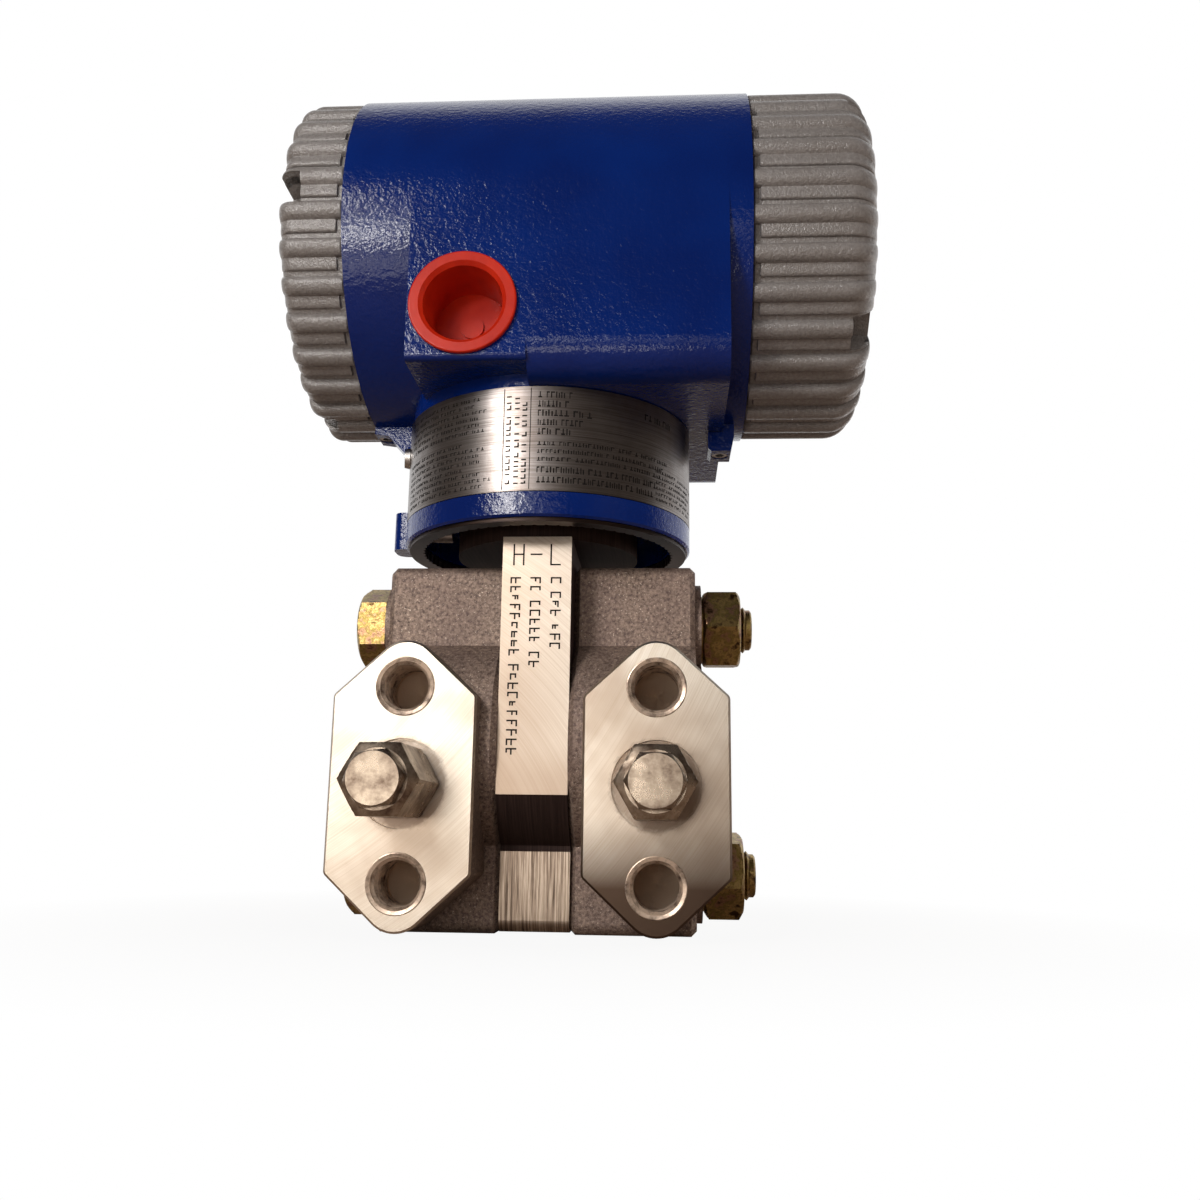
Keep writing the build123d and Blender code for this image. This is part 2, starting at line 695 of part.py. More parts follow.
def threaded_cover(outer_x, joint_x, corner, notch_angle, phase, deep):
    """Ribbed cover with a threaded spigot: its outside is turned, then ribbed, grooved and notched."""
    side = 1 if outer_x > joint_x else -1
    length = abs(outer_x - joint_x) - housing_gap
    shoulder = Plane(
        origin=(joint_x + side * housing_gap, mid_y, housing_z), x_dir=(0, 1, 0), z_dir=(side, 0, 0)
    )
    flat_radius = rib_radius - rib_flat_drop
    pitch = 360 / rib_count
    tip = Plane(shoulder.origin, x_dir=shoulder.z_dir, z_dir=(0, 0, -side))

    # Ribs standing out of the flats, trimmed to the rounded end
    with BuildPart() as ribs:
        with BuildSketch(shoulder):
            with PolarLocations(rib_radius - 1.6, rib_count, start_angle=side * (phase + rib_lead_angle)):
                RectangleRounded(3.2, rib_width, 1.1)
        extrude(amount=length)
        with BuildSketch(tip):
            with BuildLine():
                Line((0, 0), (0, rib_radius))
                Line((0, rib_radius), (length - corner, rib_radius))
                RadiusArc((length - corner, rib_radius), (length, rib_radius - corner), corner)
                Line((length, rib_radius - corner), (length, 0))
                Line((length, 0), (0, 0))
            make_face()
        revolve(axis=Axis(shoulder.origin, shoulder.z_dir), mode=Mode.INTERSECT)

    with BuildPart() as cover:
        with BuildSketch(tip):
            with BuildLine():
                Line((0, 0), (0, flat_radius - rib_chamfer))
                Line((0, flat_radius - rib_chamfer), (rib_chamfer, flat_radius))
                Line((rib_chamfer, flat_radius), (length - corner + rib_flat_drop, flat_radius))
                RadiusArc(
                    (length - corner + rib_flat_drop, flat_radius),
                    (length, flat_radius - corner + rib_flat_drop),
                    corner - rib_flat_drop,
                )
                Line((length, flat_radius - corner + rib_flat_drop), (length, 0))
                Line((length, 0), (0, 0))
            make_face()
        revolve(axis=Axis(shoulder.origin, shoulder.z_dir))
        add(ribs.part)
        with BuildSketch(shoulder):
            with PolarLocations(rib_radius, rib_count, start_angle=side * phase):
                Rectangle(2 * rib_groove_depth, rib_groove_width)
        extrude(amount=length, mode=Mode.SUBTRACT)
        # Wrench notches across the rim
        end = shoulder.offset(length - notch_depth)
        with BuildSketch(end):
            with PolarLocations(notch_floor_radius, 4, start_angle=side * notch_angle):
                Rectangle(20, notch_width, align=(Align.MIN, Align.CENTER))
        extrude(amount=notch_depth + 1, mode=Mode.SUBTRACT)
        # Threaded spigot with its ring groove, then the bore
        with BuildSketch(shoulder):
            Circle(thread_radius - thread_gap)
        extrude(amount=-thread_length - housing_gap)
        with BuildSketch(shoulder.offset(-housing_gap)):
            Circle(thread_radius + 1)
            Circle(groove_floor_radius, mode=Mode.SUBTRACT)
        extrude(amount=-groove_width, mode=Mode.SUBTRACT)
        with BuildSketch(shoulder.offset(-thread_length - housing_gap)):
            Circle(cover_bore_radius)
        extrude(amount=length + thread_length + housing_gap - cover_wall, mode=Mode.SUBTRACT)
        if deep:
            with BuildSketch(shoulder.offset(length - cover_wall)):
                Circle(window_radius)
            extrude(amount=cover_wall, mode=Mode.SUBTRACT)
            circles = cover.edges().filter_by(GeomType.CIRCLE)
            rim = circles.filter_by(lambda edge: abs(edge.radius - window_radius) < 0.01)
            chamfer(rim.sort_by(Axis.X)[-1], 1.5)
        else:
            with BuildSketch(shoulder.offset(length)):
                Circle(rib_radius - face_rim_width)
            extrude(amount=-face_recess_depth, taper=30, mode=Mode.SUBTRACT)
    return cover


shallow_cover = threaded_cover(
    shallow_cover_outer_x,
    housing_left,
    shallow_cover_round,
    shallow_notch_angle,
    shallow_rib_phase,
    False,
)
save(shallow_cover, "terminal_cover")
deep_cover = threaded_cover(
    deep_cover_outer_x,
    housing_right,
    deep_cover_round,
    deep_notch_angle,
    deep_rib_phase,
    True,
)
save(deep_cover, "display_cover")

# Rings that ride in the grooves of the two covers
ring_radius = (thread_radius + groove_floor_radius) / 2
ring_specs = (
    (housing_left, 1, "terminal_cover_oring"),
    (housing_right, -1, "display_cover_oring"),
)
for joint_x, side, name in ring_specs:
    with BuildPart() as cover_ring:
        with BuildSketch(Plane.XY.offset(housing_z)):
            with Locations((joint_x + side * groove_width / 2, mid_y + ring_radius)):
                Circle(cover_ring_section)
        revolve(axis=x_axis)
    save(cover_ring, name)

# Window glass and the ring that holds it, from inside the deep cover
glass_x = deep_cover_outer_x - cover_wall
with BuildPart() as window_glass:
    with BuildSketch(Plane.YZ.offset(glass_x - glass_thickness)):
        with Locations((mid_y, housing_z)):
            Circle(cover_bore_radius - glass_gap)
    extrude(amount=glass_thickness)
save(window_glass, "window_glass")

with BuildPart() as window_ring:
    with BuildSketch(Plane.YZ.offset(glass_x - glass_thickness - window_ring_height)):
        with Locations((mid_y, housing_z)):
            Circle(cover_bore_radius - thread_gap)
            Circle(window_radius + 0.5, mode=Mode.SUBTRACT)
            with PolarLocations(window_radius, 2, start_angle=90):
                Rectangle(6, 4, mode=Mode.SUBTRACT)
    extrude(amount=window_ring_height)
save(window_ring, "window_ring")

# Orange cap pressed in the front conduit opening
chest_front_y = mid_y - chest_half_depth
with BuildPart() as conduit_dust_cap:
    with BuildSketch(Plane(origin=(conduit_x, chest_front_y, conduit_z), x_dir=(1, 0, 0), z_dir=(0, 0, 1))):
        inner_floor = cap_depth - cap_flange_thickness
        with BuildLine():
            Polyline(
                (cap_mouth_radius + cap_bevel, -cap_flange_thickness),
                (cap_flange_radius, -cap_flange_thickness),
                (cap_flange_radius, 0),
                (cap_outer_radius, 0),
                (cap_outer_radius - cap_taper, inner_floor + cap_wall),
                (0, inner_floor + cap_wall),
                (0, inner_floor - 0.5),
                (cap_pip_radius, inner_floor - 0.5),
                (cap_pip_radius, inner_floor),
                (cap_mouth_radius - cap_taper, inner_floor),
                (cap_mouth_radius, cap_bevel - cap_flange_thickness),
                close=True,
            )
        make_face()
    revolve(axis=Axis((conduit_x, 0, conduit_z), (0, 1, 0)))
    circles = conduit_dust_cap.edges().filter_by(GeomType.CIRCLE)
    fillet(circles.filter_by(lambda edge: abs(edge.radius - cap_flange_radius) < 0.01), 0.4)
save(conduit_dust_cap, "conduit_dust_cap")

# Pipe plug in the rear conduit opening, with a square socket
chest_rear_y = mid_y + chest_half_depth
with BuildPart() as conduit_plug:
    with BuildSketch(Plane.XZ.offset(-chest_rear_y - 1.0)):
        with Locations((conduit_x, conduit_z)):
            Circle(conduit_radius - thread_gap)
    extrude(amount=14)
    chamfer(conduit_plug.edges().filter_by(GeomType.CIRCLE), 0.7)
    with BuildSketch(Plane.XZ.offset(-chest_rear_y - 1.0)):
        with Locations((conduit_x, conduit_z)):
            Rectangle(plug_socket, plug_socket)
    extrude(amount=8, mode=Mode.SUBTRACT)
save(conduit_plug, "conduit_plug")

# Set screws that lock the covers and the neck
left_lock = Plane(origin=(left_lock_x, mid_y, lock_boss_bottom_z + 5.2), z_dir=(0, 0, -1))
right_lock = Plane(origin=(right_lock_x, mid_y, lock_boss_bottom_z + lock_screw_inset), z_dir=(0, 0, -1))
retention = Plane(origin=(lug_face_x + lock_screw_inset, mid_y, retention_z), z_dir=(-1, 0, 0))
lock_specs = (
    ("terminal_cover_lock_screw", left_lock, 5.2),
    ("display_cover_lock_screw", right_lock, 10.2),
    ("retention_screw", retention, neck_radius + lug_reach - stem_radius - 2.2),
)
for name, head_plane, length in lock_specs:
    with BuildPart() as set_screw:
        with BuildSketch(head_plane):
            Circle(lock_screw_radius)
        extrude(amount=-length)
        with BuildSketch(head_plane):
            RegularPolygon(1.15, 6)
        extrude(amount=-2.0, mode=Mode.SUBTRACT)
    save(set_screw, name)

# Outer ground screw with its clamp washer, on the rear of the chest
with BuildPart() as ground_washer:
    with BuildSketch(Plane(origin=(ground_x, chest_rear_y, ground_z), z_dir=(0, 1, 0))) as washer:
        Rectangle(11, 11)
        fillet(washer.vertices(), 1.0)
        Circle(2.7, mode=Mode.SUBTRACT)
    extrude(amount=1.4)
save(ground_washer, "ground_washer")

outer_seat = Plane(origin=(ground_x, chest_rear_y + 1.4, ground_z), z_dir=(0, 1, 0))
inner_seat = Plane(origin=(partition_left, mid_y, inner_ground_z), z_dir=(-1, 0, 0))
ground_specs = (
    ("outer_ground_screw", outer_seat, 4.6, 3.2, 2.5, 7.4),
    ("inner_ground_screw", inner_seat, 3.8, 2.6, 2.0, 2.8),
)
for name, seat, head_radius, head_height, shank_radius, shank_length in ground_specs:
    with BuildPart() as ground_screw:
        with BuildSketch(seat):
            Circle(head_radius)
        extrude(amount=head_height)
        crown = ground_screw.faces().sort_by(Axis(seat.origin, seat.z_dir))[-1]
        fillet(crown.edges(), 0.9)
        with BuildSketch(seat.offset(head_height)):
            Rectangle(2 * head_radius, 1.1)
        extrude(amount=-1.2, mode=Mode.SUBTRACT)
        with BuildSketch(seat):
            Circle(shank_radius)
        extrude(amount=-shank_length)
    save(ground_screw, name)

# Potted electronics module on the partition
with BuildPart() as electronics_module:
    with BuildSketch(Plane.YZ.offset(partition_right)):
        with Locations((mid_y, housing_z)):
            Circle(module_radius)
            with PolarLocations(module_radius, 3, start_angle=90):
                Circle(4.0, mode=Mode.SUBTRACT)
    extrude(amount=module_length)
    rims = electronics_module.faces().filter_by(Axis.X).sort_by(Axis.X)[-1].edges()
    chamfer(rims, 1.0)
    with Locations(Plane(origin=(module_length, mid_y, housing_z), x_dir=(0, 1, 0), z_dir=(1, 0, 0))):
        with PolarLocations(module_radius - 2.8, 3, start_angle=30):
            Hole(1.3, 8)
save(electronics_module, "electronics_module")

with BuildPart() as module_screws:
    with BuildSketch(Plane.YZ.offset(partition_right + module_length)):
        with Locations((mid_y, housing_z)):
            with PolarLocations(module_radius - 2.8, 3, start_angle=30):
                Circle(2.0)
    extrude(amount=1.8)
    with BuildSketch(Plane.YZ.offset(partition_right + module_length)):
        with Locations((mid_y, housing_z)):
            with PolarLocations(module_radius - 2.8, 3, start_angle=30):
                Circle(1.3 - screw_gap)
    extrude(amount=-7)
save(module_screws, "module_screws")

# Display with a sunken glass and two push buttons
display_face_x = partition_right + module_length + display_length
button_places = [
    (mid_y - button_spread, housing_z - button_drop),
    (mid_y + button_spread, housing_z - button_drop),
]
with BuildPart() as display_module:
    with BuildSketch(Plane.YZ.offset(partition_right + module_length)):
        with Locations((mid_y, housing_z)):
            Circle(display_radius)
    extrude(amount=display_length)
    chamfer(display_module.faces().filter_by(Axis.X).sort_by(Axis.X)[-1].edges(), 0.8)
    with BuildSketch(Plane.YZ.offset(display_face_x)):
        with Locations((mid_y, housing_z + lcd_lift)):
            Rectangle(lcd_width, lcd_height)
    extrude(amount=-2.0, mode=Mode.SUBTRACT)
    with BuildSketch(Plane.YZ.offset(display_face_x)):
        with Locations(*button_places):
            Circle(button_radius + button_gap)
    extrude(amount=-button_pocket, mode=Mode.SUBTRACT)
save(display_module, "display_module")

with BuildPart() as display_glass:
    with BuildSketch(Plane.YZ.offset(display_face_x - 2.0)):
        with Locations((mid_y, housing_z + lcd_lift)):
            Rectangle(lcd_width - 0.2, lcd_height - 0.2)
    extrude(amount=1.6)
save(display_glass, "display_glass")

for place, name in zip(button_places, ("next_button", "enter_button")):
    with BuildPart() as button:
        with BuildSketch(Plane.YZ.offset(display_face_x - button_pocket + button_travel_room)):
            with Locations(place):
                Circle(button_radius)
        extrude(amount=button_pocket - button_travel_room + button_proud)
        fillet(button.faces().sort_by(Axis.X)[-1].edges(), 0.6)
    save(button, name)

# Terminal block with three screw terminals between barriers
terminal_seat = Plane(
    origin=(partition_left - block_length + 5, mid_y, terminal_z), x_dir=(0, -1, 0), z_dir=(-1, 0, 0)
)
with BuildPart() as terminal_block:
    with BuildSketch(Plane.YZ.offset(partition_left)) as outline:
        with Locations((mid_y, housing_z)):
            Circle(block_radius)
        with Locations((mid_y, block_floor_z)):
            Rectangle(
                4 * block_radius,
                2 * block_radius,
                align=(Align.CENTER, Align.MAX),
                mode=Mode.SUBTRACT,
            )
    extrude(amount=-block_length)
    with BuildSketch(Plane.YZ.offset(partition_left - block_length)):
        with Locations((mid_y, terminal_z)):
            with GridLocations(terminal_pitch, 0, 3, 1):
                Rectangle(terminal_pitch - 2.4, 22)
    extrude(amount=5, mode=Mode.SUBTRACT)
    with Locations(terminal_seat):
        with GridLocations(terminal_pitch, 0, 3, 1):
            Hole(1.8 + screw_gap, 7)
save(terminal_block, "terminal_block")

with BuildPart() as terminal_screws:
    with BuildSketch(terminal_seat):
        with GridLocations(terminal_pitch, 0, 3, 1):
            RectangleRounded(terminal_width, terminal_width, 1)
    extrude(amount=1.2)
    with BuildSketch(terminal_seat.offset(1.2)):
        with GridLocations(terminal_pitch, 0, 3, 1):
            Circle(3.4)
    extrude(amount=2.2)
    with BuildSketch(terminal_seat.offset(3.4)):
        with GridLocations(terminal_pitch, 0, 3, 1):
            Rectangle(6.8, 0.9)
            Rectangle(0.9, 6.8)
    extrude(amount=-1.1, mode=Mode.SUBTRACT)
    with BuildSketch(terminal_seat):
        with GridLocations(terminal_pitch, 0, 3, 1):
            Circle(1.8)
    extrude(amount=-6)
save(terminal_screws, "terminal_screws")
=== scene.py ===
import bpy
import bmesh
import math
import random
from math import radians, sin, cos, pi
from mathutils import Vector, Matrix


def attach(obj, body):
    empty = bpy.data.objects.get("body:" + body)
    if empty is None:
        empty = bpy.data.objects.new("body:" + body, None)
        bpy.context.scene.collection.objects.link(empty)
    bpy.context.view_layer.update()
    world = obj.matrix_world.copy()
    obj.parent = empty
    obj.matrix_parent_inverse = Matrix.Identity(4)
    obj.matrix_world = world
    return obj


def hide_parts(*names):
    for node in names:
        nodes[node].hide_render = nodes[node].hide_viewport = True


mm = 0.001
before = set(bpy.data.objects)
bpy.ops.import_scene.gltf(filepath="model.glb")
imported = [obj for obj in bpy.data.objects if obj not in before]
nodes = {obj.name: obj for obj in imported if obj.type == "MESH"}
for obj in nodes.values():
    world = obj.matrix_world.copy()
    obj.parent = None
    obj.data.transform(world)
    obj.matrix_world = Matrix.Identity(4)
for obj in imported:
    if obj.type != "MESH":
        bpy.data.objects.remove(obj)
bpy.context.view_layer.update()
print("frame loaded")

# the barrel's axis, the ports' distance from the middle and the bolt holes' height over them, in mm
axisY, barrelZ = -30.5, 132.1
portX, holeZ = 27.0, 20.65


# small helpers

def toLinear(c):
    return c / 12.92 if c <= 0.04045 else ((c + 0.055) / 1.055) ** 2.4


# colour picked as 0-255 screen values
def rgb(r, g, b):
    return (toLinear(r / 255), toLinear(g / 255), toLinear(b / 255), 1.0)


class NodeMat:
    def __init__(self, name):
        self.mat = bpy.data.materials.new(name)
        self.mat.use_nodes = True
        self.tree = self.mat.node_tree
        self.bsdf = self.tree.nodes["Principled BSDF"]
        self.coord = self.tree.nodes.new("ShaderNodeTexCoord")

    # a setting named in_Some_Socket goes to that socket, any other to the node itself
    def add(self, kind, **settings):
        node = self.tree.nodes.new(kind)
        for key, value in settings.items():
            if key.startswith("in_"):
                node.inputs[key[3:].replace("_", " ")].default_value = value
            else:
                setattr(node, key, value)
        return node

    def link(self, a, b):
        self.tree.links.new(a, b)

    # a constant is set on the socket, anything else is linked to it
    def feed(self, socket, value):
        if isinstance(value, (int, float, tuple)):
            socket.default_value = value
        else:
            self.link(value, socket)

    def noise(self, scale, detail=4.0, rough=0.55, stretch=(1, 1, 1)):
        mapping = self.add("ShaderNodeMapping", in_Scale=stretch)
        self.link(self.coord.outputs["Object"], mapping.inputs["Vector"])
        tex = self.add("ShaderNodeTexNoise", in_Scale=scale, in_Detail=detail, in_Roughness=rough)
        self.link(mapping.outputs["Vector"], tex.inputs["Vector"])
        return tex.outputs["Fac"]

    def place(self):
        split = self.add("ShaderNodeSeparateXYZ")
        self.link(self.coord.outputs["Object"], split.inputs[0])
        return split.outputs

    # streaks that run in circles round a far point in the XZ plane, as a big cutter leaves them
    def arcs(self, centre, density):
        shift = self.add("ShaderNodeVectorMath", operation="SUBTRACT")
        shift.inputs[1].default_value = centre
        self.link(self.coord.outputs["Object"], shift.inputs[0])
        flat = self.add("ShaderNodeVectorMath", operation="MULTIPLY")
        flat.inputs[1].default_value = (1, 0, 1)
        self.link(shift.outputs[0], flat.inputs[0])
        reach = self.add("ShaderNodeVectorMath", operation="LENGTH")
        self.link(flat.outputs[0], reach.inputs[0])
        spot = self.add("ShaderNodeCombineXYZ")
        self.link(self.math("MULTIPLY", reach.outputs["Value"], density), spot.inputs[0])
        self.link(self.noise(30, 1.0), spot.inputs[1])
        tex = self.add("ShaderNodeTexNoise", in_Scale=1.0, in_Detail=4.0, in_Roughness=0.6)
        self.link(spot.outputs[0], tex.inputs["Vector"])
        return tex.outputs["Fac"]

    def mix(self, factor, a, b, kind="RGBA"):
        node = self.add("ShaderNodeMix", data_type=kind)
        first, result = {"FLOAT": (2, 0), "VECTOR": (4, 1), "RGBA": (6, 2)}[kind]
        for index, value in ((0, factor), (first, a), (first + 1, b)):
            self.feed(node.inputs[index], value)
        return node.outputs[result]

    def ramp(self, source, stops):
        node = self.add("ShaderNodeValToRGB")
        elements = node.color_ramp.elements
        while len(elements) < len(stops):
            elements.new(0.5)
        for element, (pos, colour) in zip(elements, stops):
            element.position = pos
            element.color = colour
        self.link(source, node.inputs["Fac"])
        return node.outputs["Color"]

    # white where the texture passes the upper level, black under the lower one
    def specks(self, source, low, high):
        return self.ramp(source, [(low, (0, 0, 0, 1)), (high, (1, 1, 1, 1))])

    def remap(self, source, low, high, toLow, toHigh):
        node = self.add("ShaderNodeMapRange")
        for name, value in (("From Min", low), ("From Max", high), ("To Min", toLow), ("To Max", toHigh)):
            node.inputs[name].default_value = value
        self.link(source, node.inputs["Value"])
        return node.outputs["Result"]

    # from a towards b by up to the given share, as the texture goes from low to high
    def fade(self, source, low, high, share, a, b):
        return self.mix(self.remap(source, low, high, 0, share), a, b)

    def math(self, op, a, b=0.0):
        node = self.add("ShaderNodeMath", operation=op)
        self.feed(node.inputs[0], a)
        self.feed(node.inputs[1], b)
        return node.outputs[0]

    # how far value lies from zero on either side, less the offset
    def beside(self, value, offset):
        return self.math("SUBTRACT", self.math("ABSOLUTE", value), offset)

    def radius(self, a, b):
        squares = self.math("ADD", self.math("MULTIPLY", a, a), self.math("MULTIPLY", b, b))
        return self.math("SQRT", squares)

    def bump(self, height, strength, distance):
        node = self.add("ShaderNodeBump", in_Strength=strength, in_Distance=distance)
        self.link(height, node.inputs["Height"])
        return node.outputs["Normal"]

    def finish(self, **sockets):
        for name, value in sockets.items():
            self.feed(self.bsdf.inputs[name.replace("_", " ")], value)
        return self.mat


# materials, some with a settings dictionary

paint = dict(deep=rgb(0, 25, 88), light=rgb(0, 31, 99), dust=rgb(150, 160, 190), dustShare=0.03,
             peel=760, fine=1900, bump=0.00013, roughness=0.15, specular=0.36)
m = NodeMat("bluePaint")
peel = m.noise(paint["peel"], 2.0, 0.5)
fine = m.noise(paint["fine"], 2.0, 0.5)
colour = m.fade(m.noise(40, 2.0), 0.35, 0.65, 1, paint["deep"], paint["light"])
dust = m.specks(m.noise(1800, 5.0, 0.8), 0.72, 0.78)
colour = m.mix(m.math("MULTIPLY", dust, paint["dustShare"]), colour, paint["dust"])
height = m.math("ADD", peel, m.math("MULTIPLY", fine, 0.45))
bluePaint = m.finish(
    Base_Color=colour, Roughness=paint["roughness"], Specular_IOR_Level=paint["specular"],
    Normal=m.bump(height, 1.0, paint["bump"]))

coat = dict(base=rgb(130, 126, 124), dark=rgb(112, 108, 106), grime=rgb(96, 88, 82),
            grain=1300, fine=2600, bump=0.00019, roughness=0.24, specular=0.8)
m = NodeMat("greyCoat")
peel = m.noise(coat["grain"], 3.0, 0.6)
fine = m.noise(coat["fine"], 2.0, 0.5)
colour = m.fade(peel, 0.32, 0.68, 1, coat["dark"], coat["base"])
colour = m.fade(m.noise(70, 4.0, 0.6), 0.45, 0.75, 0.3, colour, coat["grime"])
height = m.math("ADD", peel, m.math("MULTIPLY", fine, 0.6))
greyCoat = m.finish(
    Base_Color=colour, Roughness=coat["roughness"], Specular_IOR_Level=coat["specular"],
    Normal=m.bump(height, 1.0, coat["bump"]))

cast = dict(body=rgb(164, 143, 128), pit=rgb(84, 68, 62), glint=rgb(232, 214, 196), shade=rgb(96, 76, 74),
            grain=1300)
# milled faces: everything before the front level, behind the rear one, or in the bowl round a port
milling = dict(front=-60.45, rear=-0.55, seat=-59.0, bowl=9.5, hole=5.6, portShadeEnd=11.7,
               light=rgb(236, 226, 212), mid=rgb(218, 204, 186), dull=rgb(176, 154, 134),
               pore=rgb(120, 98, 82), portShade=rgb(104, 82, 68), shadow=rgb(88, 72, 61),
               holeSteel=rgb(214, 192, 170))
m = NodeMat("castSteel")
place = m.place()
grit = m.noise(cast["grain"], 5.0, 0.75)
colour = m.fade(grit, 0.36, 0.62, 1, cast["pit"], cast["body"])
glint = m.specks(m.noise(2100, 3.0, 0.6), 0.63, 0.69)
colour = m.mix(m.math("MULTIPLY", glint, 0.75), colour, cast["glint"])
colour = m.fade(m.noise(60, 3.0, 0.6), 0.35, 0.7, 0.45, colour, cast["shade"])
front = m.math("LESS_THAN", place["Y"], milling["front"] * mm)
rear = m.math("GREATER_THAN", place["Y"], milling["rear"] * mm)
across = m.beside(place["X"], portX * mm)
reach = m.radius(across, place["Z"])
inBowl = m.math("LESS_THAN", reach, milling["bowl"] * mm)
bowl = m.math("MULTIPLY", inBowl, m.math("LESS_THAN", place["Y"], milling["seat"] * mm))
milled = m.math("MAXIMUM", m.math("MAXIMUM", front, rear), bowl)
# cutter arcs and smudges, pores, painted shade in and round each port's bowl, and painted shade on the lower
# right pad
arcs = m.arcs((-0.11, 0.0, 0.09), 5200)
bright = m.ramp(arcs, [(0.3, milling["mid"]), (0.6, milling["light"])])
bright = m.fade(m.noise(42, 3.0, 0.55), 0.42, 0.66, 0.7, bright, milling["dull"])
speck = m.specks(m.noise(900, 4.0, 0.7), 0.68, 0.74)
bright = m.mix(m.math("MULTIPLY", speck, 0.35), bright, milling["pore"])
# painted shade: a ragged darker patch in and round each port's bowl, about the vent plug
ragged = m.math("ADD", reach, m.math("MULTIPLY", m.noise(420, 4.0, 0.7), 0.003))
portShade = m.remap(ragged, (milling["portShadeEnd"] - 1.4) * mm, milling["portShadeEnd"] * mm, 0.6, 0.0)
bright = m.mix(portShade, bright, milling["portShade"])
lower = m.remap(place["Z"], -0.006, -0.021, 0.0, 1.0)
lowRight = m.math("MULTIPLY", m.math("GREATER_THAN", place["X"], 0.0), lower)
bright = m.mix(lowRight, bright, milling["shadow"])
# clean steel inside the four bolt holes
holeReach = m.radius(across, m.beside(place["Z"], holeZ * mm))
inHole = m.math("LESS_THAN", holeReach, milling["hole"] * mm)
surface = m.mix(inHole, m.mix(milled, colour, bright), milling["holeSteel"])
normal = m.mix(milled, m.bump(grit, 0.75, 0.00022), m.bump(arcs, 0.3, 0.00006), "VECTOR")
castSteel = m.finish(
    Base_Color=surface, Metallic=m.remap(milled, 0, 1, 0.45, 1.0),
    Roughness=m.remap(milled, 0, 1, 0.55, 0.36), Normal=normal)

# the front plate and the rim's lug are clean steel, the rest of the slab gets a dark brown painted shade
slab = dict(plateFoot=-1.9, lugTop=-14.0, front=-53.0, light=rgb(214, 202, 188), dull=rgb(180, 160, 142),
            mark=rgb(170, 148, 128), shadeDark=rgb(34, 24, 22), shadeLight=rgb(60, 46, 42))
lugTones = [(0.36, rgb(96, 82, 72)), (0.5, rgb(160, 142, 126)), (0.64, rgb(212, 196, 178))]
m = NodeMat("slabSteel")
place = m.place()
marks = m.arcs((-0.052, 0.0, -0.028), 3300)
tint = m.ramp(m.noise(24, 2.0), [(0.35, slab["dull"]), (0.65, slab["light"])])
plate = m.fade(marks, 0.4, 0.65, 0.4, tint, slab["mark"])
streak = m.noise(1.0, 4.0, 0.7, stretch=(2600, 40, 60))
lug = m.ramp(streak, lugTones)
# painted shade: a dark, streaked, less metallic copy of the rim's steel for the rest of the slab
stainAndShade = m.fade(streak, 0.3, 0.7, 1, slab["shadeDark"], slab["shadeLight"])
isFront = m.math("LESS_THAN", place["Y"], slab["front"] * mm)
isPlate = m.math("MULTIPLY", m.math("GREATER_THAN", place["Z"], slab["plateFoot"] * mm), isFront)
isLug = m.math("LESS_THAN", place["Z"], slab["lugTop"] * mm)
colour = m.mix(isPlate, m.mix(isLug, stainAndShade, lug), plate)
# plate and lug stay fully metallic and less rough; the painted shade is dull and barely metallic
unshaded = m.math("MAXIMUM", isPlate, isLug)
slabSteel = m.finish(
    Base_Color=colour, Metallic=m.remap(unshaded, 0, 1, 0.25, 1.0), Roughness=m.remap(unshaded, 0, 1, 0.6, 0.36),
    Specular_IOR_Level=m.remap(unshaded, 0, 1, 0.1, 0.5),
    Normal=m.bump(m.mix(isPlate, streak, marks, "FLOAT"), 0.25, 0.00007))

m = NodeMat("ringSteel")
turned = m.noise(1.0, 4.0, 0.6, stretch=(60, 60, 5200))
colour = m.fade(turned, 0.4, 0.7, 1, rgb(22, 16, 14), rgb(64, 48, 40))
ringSteel = m.finish(Base_Color=colour, Metallic=0.8, Roughness=0.42, Normal=m.bump(turned, 0.2, 0.00008))

band = dict(dark=rgb(104, 97, 92), light=rgb(158, 152, 150), tarnish=rgb(88, 68, 54))
m = NodeMat("bandSteel")
brush = m.noise(1.0, 5.0, 0.65, stretch=(70, 70, 6500))
rub = m.noise(55, 4.0, 0.6, stretch=(1, 1, 0.5))
colour = m.fade(brush, 0.32, 0.68, 1, band["dark"], band["light"])
colour = m.fade(rub, 0.42, 0.7, 0.6, colour, band["tarnish"])
bandSteel = m.finish(
    Base_Color=colour, Metallic=1.0, Roughness=m.remap(rub, 0.3, 0.7, 0.27, 0.4),
    Normal=m.bump(brush, 0.16, 0.00005))

m = NodeMat("printInk")
colour = m.fade(m.noise(1500, 3.0), 0.35, 0.65, 1, rgb(6, 5, 5), rgb(26, 20, 17))
printInk = m.finish(Base_Color=colour, Roughness=0.7, Specular_IOR_Level=0.2)

plating = dict(
    gold=rgb(180, 152, 98), olive=rgb(138, 120, 66), rose=rgb(164, 126, 100), brown=rgb(66, 46, 26))
platingLevels = ((0.34, "brown"), (0.45, "gold"), (0.53, "olive"), (0.62, "rose"), (0.72, "brown"))
m = NodeMat("platedSteel")
speck = m.noise(1700, 4.0, 0.7)
colour = m.ramp(m.noise(300, 3.0, 0.6), [(level, plating[key]) for level, key in platingLevels])
colour = m.fade(speck, 0.5, 0.75, 0.7, colour, plating["brown"])
platedSteel = m.finish(
    Base_Color=colour, Metallic=1.0, Roughness=m.remap(speck, 0.3, 0.7, 0.28, 0.44),
    Normal=m.bump(speck, 0.4, 0.00012))

